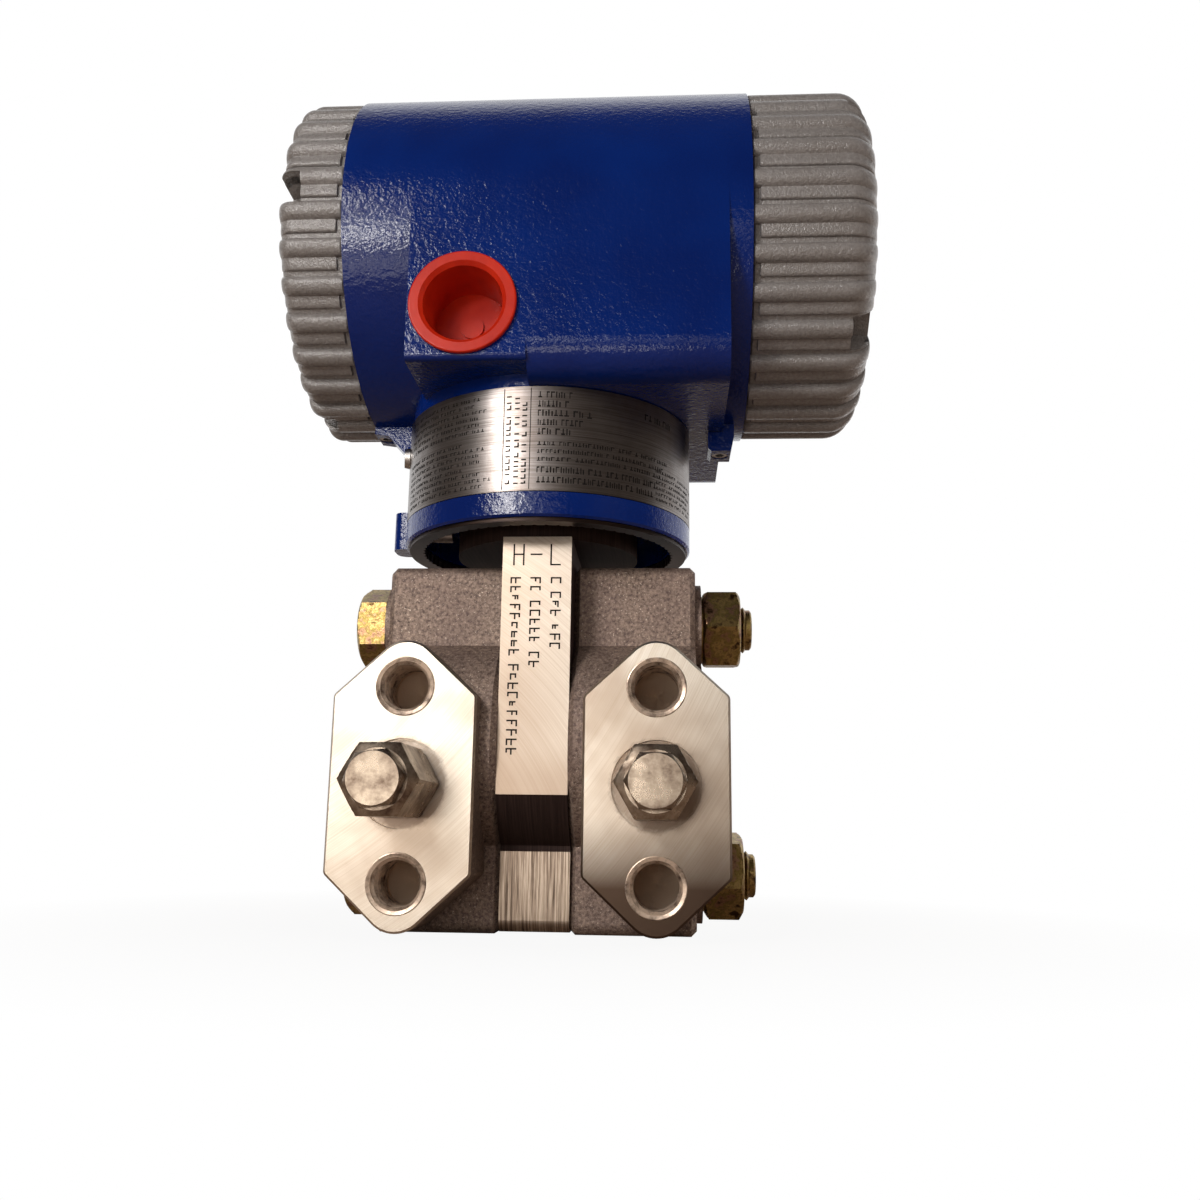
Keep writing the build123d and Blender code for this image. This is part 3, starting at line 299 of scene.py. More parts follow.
m = NodeMat("turnedSteel")
brush = m.noise(1.0, 4.0, 0.6, stretch=(500, 4200, 500))
stainAndShade = m.noise(240, 4.0, 0.65)
colour = m.fade(stainAndShade, 0.42, 0.66, 0.8, rgb(184, 168, 150), rgb(84, 62, 50))
turnedSteel = m.finish(
    Base_Color=colour, Metallic=1.0, Roughness=m.remap(stainAndShade, 0.3, 0.7, 0.24, 0.36),
    Normal=m.bump(brush, 0.2, 0.00006))

m = NodeMat("threadSteel")
wet = m.noise(330, 4.0, 0.65)
colour = m.fade(wet, 0.42, 0.68, 1, rgb(206, 184, 164), rgb(70, 52, 44))
threadSteel = m.finish(Base_Color=colour, Metallic=0.55, Roughness=0.32, Normal=m.bump(wet, 0.3, 0.0001))

m = NodeMat("zincScrew")
speck = m.noise(900, 4.0, 0.6)
colour = m.fade(speck, 0.3, 0.7, 1, rgb(150, 146, 142), rgb(196, 192, 188))
zincScrew = m.finish(Base_Color=colour, Metallic=1.0, Roughness=0.34, Normal=m.bump(speck, 0.2, 0.00006))

cap = dict(deep=rgb(164, 26, 8), light=rgb(192, 42, 16), scuff=rgb(206, 88, 62),
           roughness=0.32, specular=0.25)
m = NodeMat("orangePlastic")
colour = m.fade(m.noise(120, 3.0, 0.6), 0.3, 0.7, 1, cap["deep"], cap["light"])
scuff = m.specks(m.noise(500, 5.0, 0.75), 0.66, 0.74)
colour = m.mix(m.math("MULTIPLY", scuff, 0.3), colour, cap["scuff"])
orangePlastic = m.finish(
    Base_Color=colour, Roughness=cap["roughness"], Specular_IOR_Level=cap["specular"],
    Normal=m.bump(m.noise(900, 3.0), 0.2, 0.0001))


def plainPlastic(name, colour, roughness):
    m = NodeMat(name)
    grain = m.noise(1400, 3.0, 0.6)
    shade = m.fade(grain, 0.3, 0.7, 0.25, colour, tuple(0.6 * c for c in colour[:3]) + (1,))
    return m.finish(Base_Color=shade, Roughness=roughness, Normal=m.bump(grain, 0.15, 0.00008))


blackRubber = plainPlastic("blackRubber", rgb(24, 24, 24), 0.6)
ringPolymer = plainPlastic("ringPolymer", rgb(30, 26, 24), 0.5)
blackPlastic = plainPlastic("blackPlastic", rgb(34, 34, 36), 0.45)
greenPotting = plainPlastic("greenPotting", rgb(30, 84, 56), 0.4)
greyPlastic = plainPlastic("greyPlastic", rgb(98, 102, 106), 0.5)
buttonPlastic = plainPlastic("buttonPlastic", rgb(206, 206, 208), 0.35)
displayPane = plainPlastic("displayPane", rgb(150, 160, 138), 0.12)

m = NodeMat("windowGlass")
m.bsdf.inputs["IOR"].default_value = 1.45
windowGlass = m.finish(
    Base_Color=(0.93, 0.96, 0.95, 1), Transmission_Weight=1.0,
    Roughness=m.remap(m.noise(120, 3.0), 0.3, 0.8, 0.01, 0.05))
print("materials made")

look = {
    "housing": bluePaint, "terminal_cover": greyCoat, "display_cover": greyCoat,
    "high_side_cover": castSteel, "low_side_cover": castSteel, "sensor_body": slabSteel,
    "lock_ring": ringSteel, "nameplate_band": bandSteel, "nameplate_screws": zincScrew,
    "conduit_dust_cap": orangePlastic,
    "conduit_plug": turnedSteel, "cover_bolts": platedSteel, "cover_nuts": platedSteel,
    "high_side_vent_plug": turnedSteel, "low_side_vent_plug": turnedSteel,
    "high_side_vent_screw": turnedSteel, "low_side_vent_screw": turnedSteel,
    "high_side_gasket": ringPolymer, "low_side_gasket": ringPolymer,
    "high_side_diaphragm": turnedSteel, "low_side_diaphragm": turnedSteel, "neck_oring": blackRubber,
    "terminal_cover_oring": blackRubber, "display_cover_oring": blackRubber, "lead_header": turnedSteel,
    "window_glass": windowGlass, "window_ring": blackPlastic, "terminal_cover_lock_screw": zincScrew,
    "display_cover_lock_screw": zincScrew, "retention_screw": zincScrew, "ground_washer": zincScrew,
    "outer_ground_screw": zincScrew, "inner_ground_screw": zincScrew, "electronics_module": greenPotting,
    "module_screws": zincScrew, "display_module": greyPlastic, "display_glass": displayPane,
    "next_button": buttonPlastic, "enter_button": buttonPlastic, "terminal_block": blackPlastic,
    "terminal_screws": turnedSteel,
}
for name, mat in look.items():
    node = nodes[name]
    node.data.materials.clear()
    node.data.materials.append(mat)
print("CAD nodes dressed")


# shared mesh tools

def newObject(name, bm, mats, sharp=38):
    for edge in bm.edges:
        if len(edge.link_faces) == 2:
            edge.smooth = edge.calc_face_angle() < radians(sharp)
    for face in bm.faces:
        face.smooth = True
    mesh = bpy.data.meshes.new(name)
    bm.to_mesh(mesh)
    bm.free()
    for mat in mats:
        mesh.materials.append(mat)
    obj = bpy.data.objects.new(name, mesh)
    bpy.context.collection.objects.link(obj)
    return obj


# the mesh as its modifiers leave it, with the modifiers gone
def baked(obj):
    deps = bpy.context.evaluated_depsgraph_get()
    mesh = bpy.data.meshes.new_from_object(obj.evaluated_get(deps), depsgraph=deps)
    obj.modifiers.clear()
    old = obj.data
    obj.data = mesh
    bpy.data.meshes.remove(old)
    return obj


def remark(obj, sharp):
    bm = bmesh.new()
    bm.from_mesh(obj.data)
    for edge in bm.edges:
        edge.smooth = len(edge.link_faces) == 2 and edge.calc_face_angle() < radians(sharp)
    for face in bm.faces:
        face.smooth = True
    bm.to_mesh(obj.data)
    bm.free()


# quads between neighbouring rings of vertices; closed also joins the last ring to the first
def skin(bm, rings, closed=False):
    n = len(rings[0])
    for k in range(len(rings) if closed else len(rings) - 1):
        a, b = rings[k], rings[(k + 1) % len(rings)]
        for i in range(n):
            j = (i + 1) % n
            bm.faces.new((a[i], a[j], b[j], b[i]))


def boolCut(obj, cutter):
    mod = obj.modifiers.new("cut", "BOOLEAN")
    mod.operation = "DIFFERENCE"
    mod.solver = "EXACT"
    mod.object = cutter
    return baked(obj)


# geometry nodes tree with its named inputs: (name, socket type, value)
def newTree(name, sockets):
    group = bpy.data.node_groups.new(name, "GeometryNodeTree")
    group.interface.new_socket("Geometry", in_out="OUTPUT", socket_type="NodeSocketGeometry")
    for label, kind, value in sockets:
        group.interface.new_socket(label, in_out="INPUT", socket_type=kind).default_value = value
    return group


# the sample on every point, realized, moved and given its material
def pasteSample(group, points, sample, mat, spin=None, shift=(0, 0, 0)):
    add, link = group.nodes.new, group.links.new
    info = add("GeometryNodeObjectInfo")
    info.inputs["Object"].default_value = sample
    inst, real = add("GeometryNodeInstanceOnPoints"), add("GeometryNodeRealizeInstances")
    move = add("GeometryNodeTransform")
    move.inputs["Translation"].default_value = shift
    dress = add("GeometryNodeSetMaterial")
    dress.inputs["Material"].default_value = mat
    link(points, inst.inputs["Points"])
    link(info.outputs["Geometry"], inst.inputs["Instance"])
    if spin is not None:
        link(spin, inst.inputs["Rotation"])
    link(inst.outputs[0], real.inputs[0])
    link(real.outputs[0], move.inputs["Geometry"])
    link(move.outputs[0], dress.inputs["Geometry"])
    link(dress.outputs[0], add("NodeGroupOutput").inputs[0])


# the rib repeated round the barrel
def ribRing(obj, rib, count, phase, mat):
    sockets = (("Count", "NodeSocketInt", count), ("Phase", "NodeSocketFloat", phase))
    group = newTree(obj.name + "Ribs", sockets)
    add, link = group.nodes.new, group.links.new
    enter = add("NodeGroupInput")
    points = add("GeometryNodePoints")
    step = add("ShaderNodeMath")
    step.operation = "DIVIDE"
    step.inputs[0].default_value = 2 * pi
    turn = add("ShaderNodeMath")
    turn.operation = "MULTIPLY_ADD"
    combine = add("ShaderNodeCombineXYZ")
    link(enter.outputs["Count"], points.inputs["Count"])
    link(enter.outputs["Count"], step.inputs[1])
    link(add("GeometryNodeInputIndex").outputs[0], turn.inputs[0])
    link(step.outputs[0], turn.inputs[1])
    link(enter.outputs["Phase"], turn.inputs[2])
    link(turn.outputs[0], combine.inputs["X"])
    pasteSample(group, points.outputs[0], rib, mat, combine.outputs[0], (0, axisY * mm, barrelZ * mm))
    obj.modifiers.new("ribs", "NODES").node_group = group
    return baked(obj)


# threaded covers: a turned drum, thirty ribs round it and four wrench notches

def buildCover(name, cfg):
    side = 1 if cfg["end"] > cfg["joint"] else -1
    joint, crest, corner, groove = cfg["joint"], cfg["crest"], cfg["corner"], cfg["groove"]
    start = joint + side * 0.15
    length = abs(cfg["end"] - start)

    def place(along):
        return start + side * along

    # how far the rounded end lies under the crest
    def drop(along):
        past = along - (length - corner)
        return 0 if past <= 0 else corner - math.sqrt(max(corner ** 2 - past ** 2, 0))

    # profile of (along X, radius): outside, end face, inside, thread and relief
    floorR = crest - groove
    stations = [length - corner + corner * sin(radians(t)) for t in range(0, 91, 9)]
    profile = [(place(0), 38.4), (place(0), floorR - 0.5), (place(0.5), floorR)]
    profile += [(place(t), floorR - drop(t) * (corner - 0.4) / corner) for t in stations]
    profile += [(place(length), p) for p in cfg["face"]]
    profile += cfg["inside"]
    thread = []
    tip = joint - side * 12.0
    at = joint - side * 3.6
    while (tip - at) * -side > 1.2:
        for shift, r in ((0.0, 38.45), (0.45, 38.45), (0.85, 37.75), (1.2, 37.75)):
            thread.append((at - side * shift, r))
        at -= side * 1.6
    profile += [(tip, 34.5), (tip, 37.5), (tip + side * 0.6, 37.9)] + thread[::-1]
    relief = ((3.0, 38.0), (3.0, 36.0), (0.05, 36.0), (0.05, 38.4))
    profile += [(joint - side * back, r) for back, r in relief]
    bm = bmesh.new()
    rings = []
    for x, r in profile:
        ring = []
        for i in range(150):
            a = 2 * pi * i / 150
            ring.append(bm.verts.new((x * mm, (axisY + r * cos(a)) * mm, (barrelZ + r * sin(a)) * mm)))
        rings.append(ring)
    skin(bm, rings, closed=True)
    bmesh.ops.recalc_face_normals(bm, faces=bm.faces)
    drum = newObject(name + "Visual", bm, [greyCoat])

    # one rib: a rounded ridge, then a lower flat that stops short of the joint
    bm = bmesh.new()
    across = cfg["across"]
    alongs = [0.0, 0.35, 1.0, 1.35, 1.7]
    alongs += [2.2 + (length - corner - 2.2) * k / 6 for k in range(6)] + stations
    sections = []
    for t in alongs:
        t = min(t, length - 0.08)
        ridge = []
        for a, rise, isFlat in across:
            r = crest + rise
            if isFlat and t < 1.7:
                r -= 1.6 * min(1, max(0, (1.7 - t) / 0.5))
            if t < 0.35:
                r -= 0.35
            r -= drop(t) * (corner - 0.1) / corner
            ridge.append((max(r, 24), a))
        ridge += [(crest - groove - 2.6 - drop(t), a) for a in (across[-1][0], across[0][0])]
        spots = [(place(t), r * cos(radians(a)), r * sin(radians(a))) for r, a in ridge]
        sections.append([bm.verts.new(Vector(spot) * mm) for spot in spots])
    skin(bm, sections)
    bm.faces.new(sections[0])
    bm.faces.new(sections[-1])
    bmesh.ops.recalc_face_normals(bm, faces=bm.faces)
    rib = newObject(name + "Rib", bm, [greyCoat], sharp=30)
    ribs = newObject(name + "Ribs", bmesh.new(), [])
    ribRing(ribs, rib, 30, radians(cfg["phase"]), greyCoat)

    bm = bmesh.new()
    for k in range(4):
        spin = Matrix.Rotation(radians(cfg["notch"] + 90 * k), 4, "X")
        middle = Vector((place(length), axisY, barrelZ)) * mm
        for v in bmesh.ops.create_cube(bm, size=1)["verts"]:
            x, y, z = v.co
            box = Vector((x * 2 * cfg["notchDepth"], y * 14 + 7 + cfg["notchFloor"], z * cfg["notchWidth"]))
            v.co = spin @ (box * mm) + middle
    cutter = newObject(name + "Cutter", bm, [greyCoat])
    boolCut(drum, cutter)
    # a hair deeper in the ribs, so that no two floors share a plane
    cutter.location.x = -side * 0.07 * mm
    boolCut(ribs, cutter)
    pair = [drum, ribs]
    with bpy.context.temp_override(active_object=drum, selected_editable_objects=pair, selected_objects=pair):
        bpy.ops.object.join()
    remark(drum, 34)
    for spare in (rib, cutter):
        bpy.data.objects.remove(spare)
    return drum


# one twelve-degree period: angle, height over the crest in mm, and 1 on the low flat
period = [(0.75, -2.3, 0), (0.9, -1.35, 0), (1.15, -0.85, 0), (1.55, -0.48, 0), (2.1, -0.2, 0),
          (2.9, -0.03, 0), (3.7, 0.0, 0), (4.5, -0.06, 0), (5.2, -0.22, 0), (5.8, -0.46, 0), (6.3, -0.78, 0),
          (6.7, -1.15, 0), (6.95, -1.42, 1), (7.6, -1.46, 1), (8.6, -1.36, 1), (9.6, -1.3, 1),
          (10.4, -1.36, 1), (10.8, -1.5, 1), (11.05, -1.8, 1), (11.15, -2.3, 1)]
shallowSet = dict(joint=-44.1, end=-59.65, crest=42.2, corner=3.8, groove=2.1, phase=1.7, across=period,
                  notch=178.0, notchDepth=5.2, notchFloor=31.0, notchWidth=7.6, face=[36.0, 30.0, 26.0],
                  inside=[(-59.65, 24.4), (-59.1, 23.7), (-58.85, 22.0), (-58.85, 0.02), (-52.45, 0.02),
                          (-52.45, 34.5)])
deepSet = dict(joint=48.3, end=76.7, crest=42.3, corner=7.1, groove=2.1, phase=6.0, across=period,
               notch=228.0, notchDepth=5.4, notchFloor=31.0, notchWidth=8.2, face=[33.0, 28.5],
               inside=[(75.3, 26.6), (69.5, 26.5), (69.5, 34.5)])
terminalCover = buildCover("terminalCover", shallowSet)
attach(terminalCover, "terminal_cover")
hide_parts("terminal_cover")
displayCover = buildCover("displayCover", deepSet)
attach(displayCover, "display_cover")
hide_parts("display_cover")
print("threaded covers built")


# turned and hexagonal pieces

def hexReach(flats, angle, phase):
    side = (math.degrees(angle) - phase) % 60 - 30
    return flats / 2 / cos(radians(side))


# stations of (along, radius, is hexagon); a hexagon is cut back by the cone that the radii give
def turnedPiece(bm, origin, axis, profile, flats=0, phase=0.0, steps=96, closed=False):
    along = Vector(axis)
    across = Vector((0, 1, 0)) if abs(along.x) > 0.5 else Vector((1, 0, 0))
    up = Vector((0, 1, 0)) if abs(along.z) > 0.5 else Vector((0, 0, 1))
    rings = []
    for shift, radius, isHex in profile:
        ring = []
        for i in range(steps):
            a = 2 * pi * i / steps + radians(phase)
            r = min(radius, hexReach(flats, a, phase)) if isHex else radius
            spot = Vector(origin) + along * shift + (across * cos(a) + up * sin(a)) * r
            ring.append(bm.verts.new(spot * mm))
        rings.append(ring)
    skin(bm, rings, closed)
    if not closed:
        bm.faces.new(rings[0])
        bm.faces.new(rings[-1])


# a hexagon whose ends are chamfered by a cone, densest where the cone crosses the flats
def coneStations(start, height, flats, bothEnds=True, slope=1.732, rim=0.95):
    corner = flats / math.sqrt(3)
    face = flats / 2 * rim
    steps = [0.0, 0.12, 0.25, 0.45, 0.7, 1.0, (corner - face) / slope]
    near = [(start + t, face + slope * t, 1) for t in steps]
    if not bothEnds:
        return near + [(start + height, corner, 1)]
    return near + [(start + height - t, face + slope * t, 1) for t in reversed(steps)]


def threadStations(start, end, crest, root, pitch):
    stations = []
    at = start
    while at + pitch <= end:
        for share, r in ((0, root), (0.4, crest), (0.55, crest), (0.95, root)):
            stations.append((at + pitch * share, r, 0))
        at += pitch
    return stations


boltSet = dict(levels=(38.5, -19.0), seat=37.3, flats=17.46, head=7.4, nut=9.3, nutBore=5.53, tail=2.8,
               shank=5.5, root=4.85, pitch=1.27, headPhase=30.0, nutPhases=(65.2, 74.4), washer=8.1,
               washerHeight=0.45)
bolts, nuts = bmesh.new(), bmesh.new()
for level, nutPhase in zip(boltSet["levels"], boltSet["nutPhases"]):
    b = boltSet
    tip = 2 * b["seat"] + b["nut"] + b["tail"]
    bolt = [(-b["head"], 3.0, 0), (-b["head"], 6.4, 0)]
    bolt += coneStations(-b["head"], b["head"] - b["washerHeight"], b["flats"], bothEnds=False)
    bolt += [(-b["washerHeight"], b["washer"], 0), (0, b["washer"], 0), (0, b["shank"], 0)]
    bolt += [(tip - 5.2, b["shank"], 0)]
    bolt += threadStations(tip - 5.1, tip - 0.5, b["shank"], b["root"], b["pitch"])
    bolt += [(tip - 0.4, b["root"], 0), (tip, b["root"] - 0.5, 0), (tip, 2.0, 0)]
    turnedPiece(bolts, (-b["seat"], axisY, level), (1, 0, 0), bolt, b["flats"], b["headPhase"])
    nut = [(0, b["washer"], 0), (b["washerHeight"], b["washer"], 0)]
    nut += coneStations(b["washerHeight"], b["nut"] - b["washerHeight"], b["flats"])
    nut += [(b["nut"], 6.5, 0), (b["nut"] - 0.9, b["nutBore"], 0), (0.0, b["nutBore"], 0)]
    turnedPiece(nuts, (b["seat"], axisY, level), (1, 0, 0), nut, b["flats"], nutPhase, closed=True)
for bm, name, node in ((bolts, "coverBoltPair", "cover_bolts"), (nuts, "coverNutPair", "cover_nuts")):
    bmesh.ops.recalc_face_normals(bm, faces=bm.faces)
    piece = newObject(name, bm, [platedSteel], 24)
    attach(piece, "sensor")
    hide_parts(node)

ventSet = dict(seatY=-59.4, flats=14.3, length=21.4, threadIn=14.5, threadR=5.95, threadRoot=5.3, pitch=1.4,
               bore=3.0, headFlats=10.6, headHigh=3.3, headGap=0.3, screwR=2.95, screwIn=14.0, outlet=1.2,
               outletBack=14.0)
for sign, label, turn in ((-1, "high", 8.0), (1, "low", 0.0)):
    v = ventSet
    seat = (sign * portX, v["seatY"], 0)
    bm = bmesh.new()
    body = [(-v["threadIn"] + 0.6, v["threadRoot"], 0)]
    body += threadStations(-v["threadIn"] + 0.8, -0.8, v["threadR"], v["threadRoot"], v["pitch"])
    body += [(-0.4, 5.6, 0), (0.0, 5.6, 0), (0.0, 6.6, 0), (0.35, 6.9, 0)]
    body += coneStations(0.35, 3.0, v["flats"], bothEnds=False, slope=1.2)
    body += [(v["length"] - t, 6.05 + 2.0 * t, 1) for t in (1.15, 0.9, 0.7, 0.5, 0.3, 0.12, 0.0)]
    body += [(v["length"], 5.7, 0), (v["length"], v["bore"], 0), (-v["threadIn"] + 0.6, v["bore"], 0)]
    turnedPiece(bm, seat, (0, -1, 0), body, v["flats"], 0.0, closed=True)
    bmesh.ops.recalc_face_normals(bm, faces=bm.faces)
    plug = newObject(label + "VentPlug", bm, [turnedSteel], 24)
    # the outlet is drilled from below
    bm = bmesh.new()
    outlet = (sign * portX, v["seatY"] - (v["length"] - v["outletBack"]), -4.5)
    turnedPiece(bm, outlet, (0, 0, -1), [(0, v["outlet"], 0), (5, v["outlet"], 0)], steps=24)
    bmesh.ops.recalc_face_normals(bm, faces=bm.faces)
    drill = newObject(label + "Drill", bm, [turnedSteel])
    boolCut(plug, drill)
    remark(plug, 24)
    bpy.data.objects.remove(drill)
    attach(plug, "sensor")
    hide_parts(label + "_side_vent_plug")
    bm = bmesh.new()
    head = v["length"] + v["headGap"]
    screw = [(head - v["screwIn"], 1.4, 0), (head - v["screwIn"] + 1.5, v["screwR"], 0)]
    screw += [(head - 2.6, v["screwR"], 0), (head - 2.5, 2.5, 0), (head, 2.5, 0)]
    screw += coneStations(head, v["headHigh"], v["headFlats"], slope=1.1, rim=0.975)
    screw += [(head + v["headHigh"], 0.5, 0)]
    turnedPiece(bm, seat, (0, -1, 0), screw, v["headFlats"], turn)
    bmesh.ops.recalc_face_normals(bm, faces=bm.faces)
    piece = newObject(label + "VentScrew", bm, [turnedSteel], 24)
    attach(piece, label + "_vent")
    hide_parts(label + "_side_vent_screw")
print("fasteners and vents built")

# threads in the bolt holes, and the raised lip that the tap leaves at each mouth
holeSet = dict(front=-61.0, frontR=5.48, rearR=5.28, depth=13.2, rise=0.62, pitch=1.81,
               lip=0.95, lipHigh=0.22)


def threadedMouth(outward, radius):
    h = holeSet
    lip, high = h["lip"], h["lipHigh"]
    bm = bmesh.new()
    wall = [(-0.35, radius - 0.02, 0)]
    at = 0.5
    while at + h["pitch"] < h["depth"]:
        for shift, rise in ((0, 0), (0.55, h["rise"]), (0.85, h["rise"]), (1.5, 0)):
            wall.append((-at - shift, radius - rise, 0))
        at += h["pitch"]
    wall += [(-h["depth"], radius + 0.01, 0), (-0.35, radius + 0.01, 0)]
    turnedPiece(bm, (0, 0, 0), (0, outward, 0), wall, steps=56, closed=True)
    rim = [(0.01, radius + 0.04, 0), (high, radius + lip * 0.75, 0), (high * 0.8, radius + lip * 0.9, 0),
           (0.01, radius + lip, 0), (-0.05, radius + lip * 0.5, 0)]
    turnedPiece(bm, (0, 0, 0), (0, outward, 0), rim, steps=56, closed=True)
    bmesh.ops.recalc_face_normals(bm, faces=bm.faces)
    return newObject("mouth", bm, [threadSteel], 30)


# the sample at the four corners of a rectangle that stands at the given Y
def cornerCopies(name, sample, spacing, mat):
    group = newTree(name + "Nodes", [(label, "NodeSocketFloat", value) for label, value in spacing.items()])
    add, link = group.nodes.new, group.links.new
    enter = add("NodeGroupInput")
    grid = add("GeometryNodeMeshGrid")
    grid.inputs["Vertices X"].default_value = 2
    grid.inputs["Vertices Y"].default_value = 2
    link(enter.outputs["Spacing X"], grid.inputs["Size X"])
    link(enter.outputs["Spacing Z"], grid.inputs["Size Y"])
    stand = add("GeometryNodeTransform")
    stand.inputs["Rotation"].default_value = (pi / 2, 0, 0)
    spot = add("ShaderNodeCombineXYZ")
    link(enter.outputs["Face Y"], spot.inputs["Y"])
    link(spot.outputs[0], stand.inputs["Translation"])
    link(grid.outputs["Mesh"], stand.inputs["Geometry"])
    pasteSample(group, stand.outputs[0], sample, mat)
    obj = newObject(name, bmesh.new(), [])
    obj.modifiers.new("paste", "NODES").node_group = group
    return baked(obj)


mouths = (("front", holeSet["front"], -1, holeSet["frontR"]), ("rear", 0.0, 1, holeSet["rearR"]))
for label, faceY, outward, radius in mouths:
    sample = threadedMouth(outward, radius)
    spacing = {"Spacing X": 2 * portX * mm, "Spacing Z": 2 * holeZ * mm, "Face Y": faceY * mm}
    piece = cornerCopies(label + "HoleThreads", sample, spacing, threadSteel)
    bpy.data.objects.remove(sample)
    remark(piece, 30)
    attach(piece, "sensor")
print("bolt hole threads built")

# generic marks: H and L with a dash between them, then rows of plain strokes down the plate
markSet = dict(y=-54.03, stroke=0.36, top=54.0, middle=51.4, low=49.0, glyph=1.45, gap=0.6, tall=2.4, seed=4,
               rows=((-4.7, 46.3, 6.0), (-0.2, 46.3, 24.0), (4.4, 46.3, 28.5)))
rowRandom = random.Random(markSet["seed"])
bm = bmesh.new()


def stroke(x0, z0, x1, z1):
    corners = [(x0, z0), (x1, z0), (x1, z1), (x0, z1)]
    bm.faces.new([bm.verts.new((x * mm, markSet["y"] * mm, z * mm)) for x, z in corners])


w, top, middle, low = markSet["stroke"], markSet["top"], markSet["middle"], markSet["low"]
for x in (-5.4, -3.2):
    stroke(x, low, x + w, top)
stroke(-5.4, middle, -3.2 + w, middle + w)
stroke(-1.5, middle, 1.2, middle + w)
stroke(3.0, low, 3.0 + w, top)
stroke(3.0, low, 5.4, low + w)
for x, top, bottom in markSet["rows"]:
    z = top
    while z - markSet["glyph"] > bottom:
        tall = markSet["tall"] * rowRandom.choice((1.0, 1.0, 0.6))
        stroke(x - tall / 2, z - w, x + tall / 2, z)
        for edge in rowRandom.sample((-tall / 2, -w / 2, tall / 2 - w), 2):
            stroke(x + edge, z - markSet["glyph"] * rowRandom.choice((0.7, 1.0)), x + edge + w, z - w)
        z -= markSet["glyph"] + markSet["gap"] + (1.3 if rowRandom.random() < 0.14 else 0)
plateMarks = newObject("plateMarks", bm, [printInk])
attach(plateMarks, "sensor")

# generic print on the band: three rules, fields of short bars and three columns of them
# a field is first angle, last angle, low, high, rows, boldness, raggedness
printSet = dict(radius=34.83, low=63.4, high=86.9, seed=9,
                rules=(-11.6, -1.6, 92.0), columns=(-9.6, -6.4, -3.6),
                fields=[(-64, -14.5, 77.0, 86.0, 6, 0.5, 0.35), (-66, -14.5, 64.0, 75.6, 8, 0.5, 0.3),
                        (1.2, 21, 75.6, 86.4, 5, 0.68, 0.45), (1.2, 58, 69.4, 74.8, 3, 0.5, 0.1),
                        (1.2, 56, 64.4, 69.0, 2, 0.6, 0.15), (50, 84, 64.2, 72.2, 6, 0.5, 0.3),
                        (44, 60, 82.5, 84.6, 1, 0.7, 0.2)])
bandRandom = random.Random(printSet["seed"])
bm = bmesh.new()


def bandBar(a0, a1, z0, z1):
    r = printSet["radius"]
    pieces = max(1, int(abs(a1 - a0) / 2.5))
    for k in range(pieces):
        spots = []
        for a, z in ((k, z0), (k + 1, z0), (k + 1, z1), (k, z1)):
            turn = radians(a0 + (a1 - a0) * a / pieces)
            spots.append(bm.verts.new((r * sin(turn) * mm, (axisY - r * cos(turn)) * mm, z * mm)))
        bm.faces.new(spots)


def barField(a0, a1, z0, z1, rows, bold, ragged):
    pitch = (z1 - z0) / rows
    tall = pitch * bold
    for k in range(rows):
        z = z1 - pitch * (k + 0.5)
        a = a0
        end = a1 - bandRandom.random() * ragged * (a1 - a0)
        while a < end:
            wide = bandRandom.choice((0.9, 1.15, 1.15, 1.4)) * (0.75 + bold * 0.7)
            kind = bandRandom.random()
            if kind < 0.35:
                bandBar(a, a + wide * 0.32, z - tall / 2, z + tall / 2)
                bandBar(a + wide * 0.32, a + wide, z + tall * 0.28, z + tall / 2)
            elif kind < 0.7:
                bandBar(a, a + wide * 0.32, z - tall / 2, z + tall / 2)
                bandBar(a + wide * 0.68, a + wide, z - tall / 2, z + tall * 0.3)
            else:
                bandBar(a, a + wide, z - tall / 2, z - tall * 0.26)
                bandBar(a + wide * 0.34, a + wide * 0.66, z - tall * 0.26, z + tall / 2)
            a += wide + 0.45 + (1.2 if bandRandom.random() < 0.17 else 0)


for a in printSet["rules"]:
    bandBar(a, a + 0.3, printSet["low"], printSet["high"])
for field in printSet["fields"]:
    barField(*field)
for k, a in enumerate(printSet["columns"]):
    z = 64.6
    while z < 86 - k * 1.2:
        step = bandRandom.choice((0.7, 0.9, 1.1))
        bandBar(a - 0.9, a + 0.9, z, z + 0.32)
        if bandRandom.random() < 0.5:
            bandBar(a + 0.35, a + 0.9, z + 0.32, z + step)
        z += step + 0.4 + (0.8 if bandRandom.random() < 0.15 else 0)
bandPrint = newObject("bandPrint", bm, [printInk])
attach(bandPrint, "topworks")
print("marks and print placed")

# small rounded edges on the CAD solids that stay, widths in mm
edgeSet = {
    "housing": 0.9, "high_side_cover": 0.5, "low_side_cover": 0.5, "sensor_body": 0.35,
    "nameplate_screws": 0.3, "ground_washer": 0.2, "outer_ground_screw": 0.15, "terminal_block": 0.3,
    "display_module": 0.3,
}
for name, width in edgeSet.items():
    mod = nodes[name].modifiers.new("edge", "BEVEL")
    mod.width = width * mm
    mod.segments = 3
    mod.limit_method = "ANGLE"
    mod.angle_limit = radians(32)
print("edges rounded")


# stage, lights and camera

def mixShader(tree, factor, a, b):
    node = tree.nodes.new("ShaderNodeMixShader")
    for source, socket in zip((factor, a, b), node.inputs):
        tree.links.new(source, socket)
    return node.outputs[0]


def joined(tree, operation, a, b):
    node = tree.nodes.new("ShaderNodeMath")
    node.operation = operation
    tree.links.new(a, node.inputs[0])
    tree.links.new(b, node.inputs[1])
    return node.outputs[0]


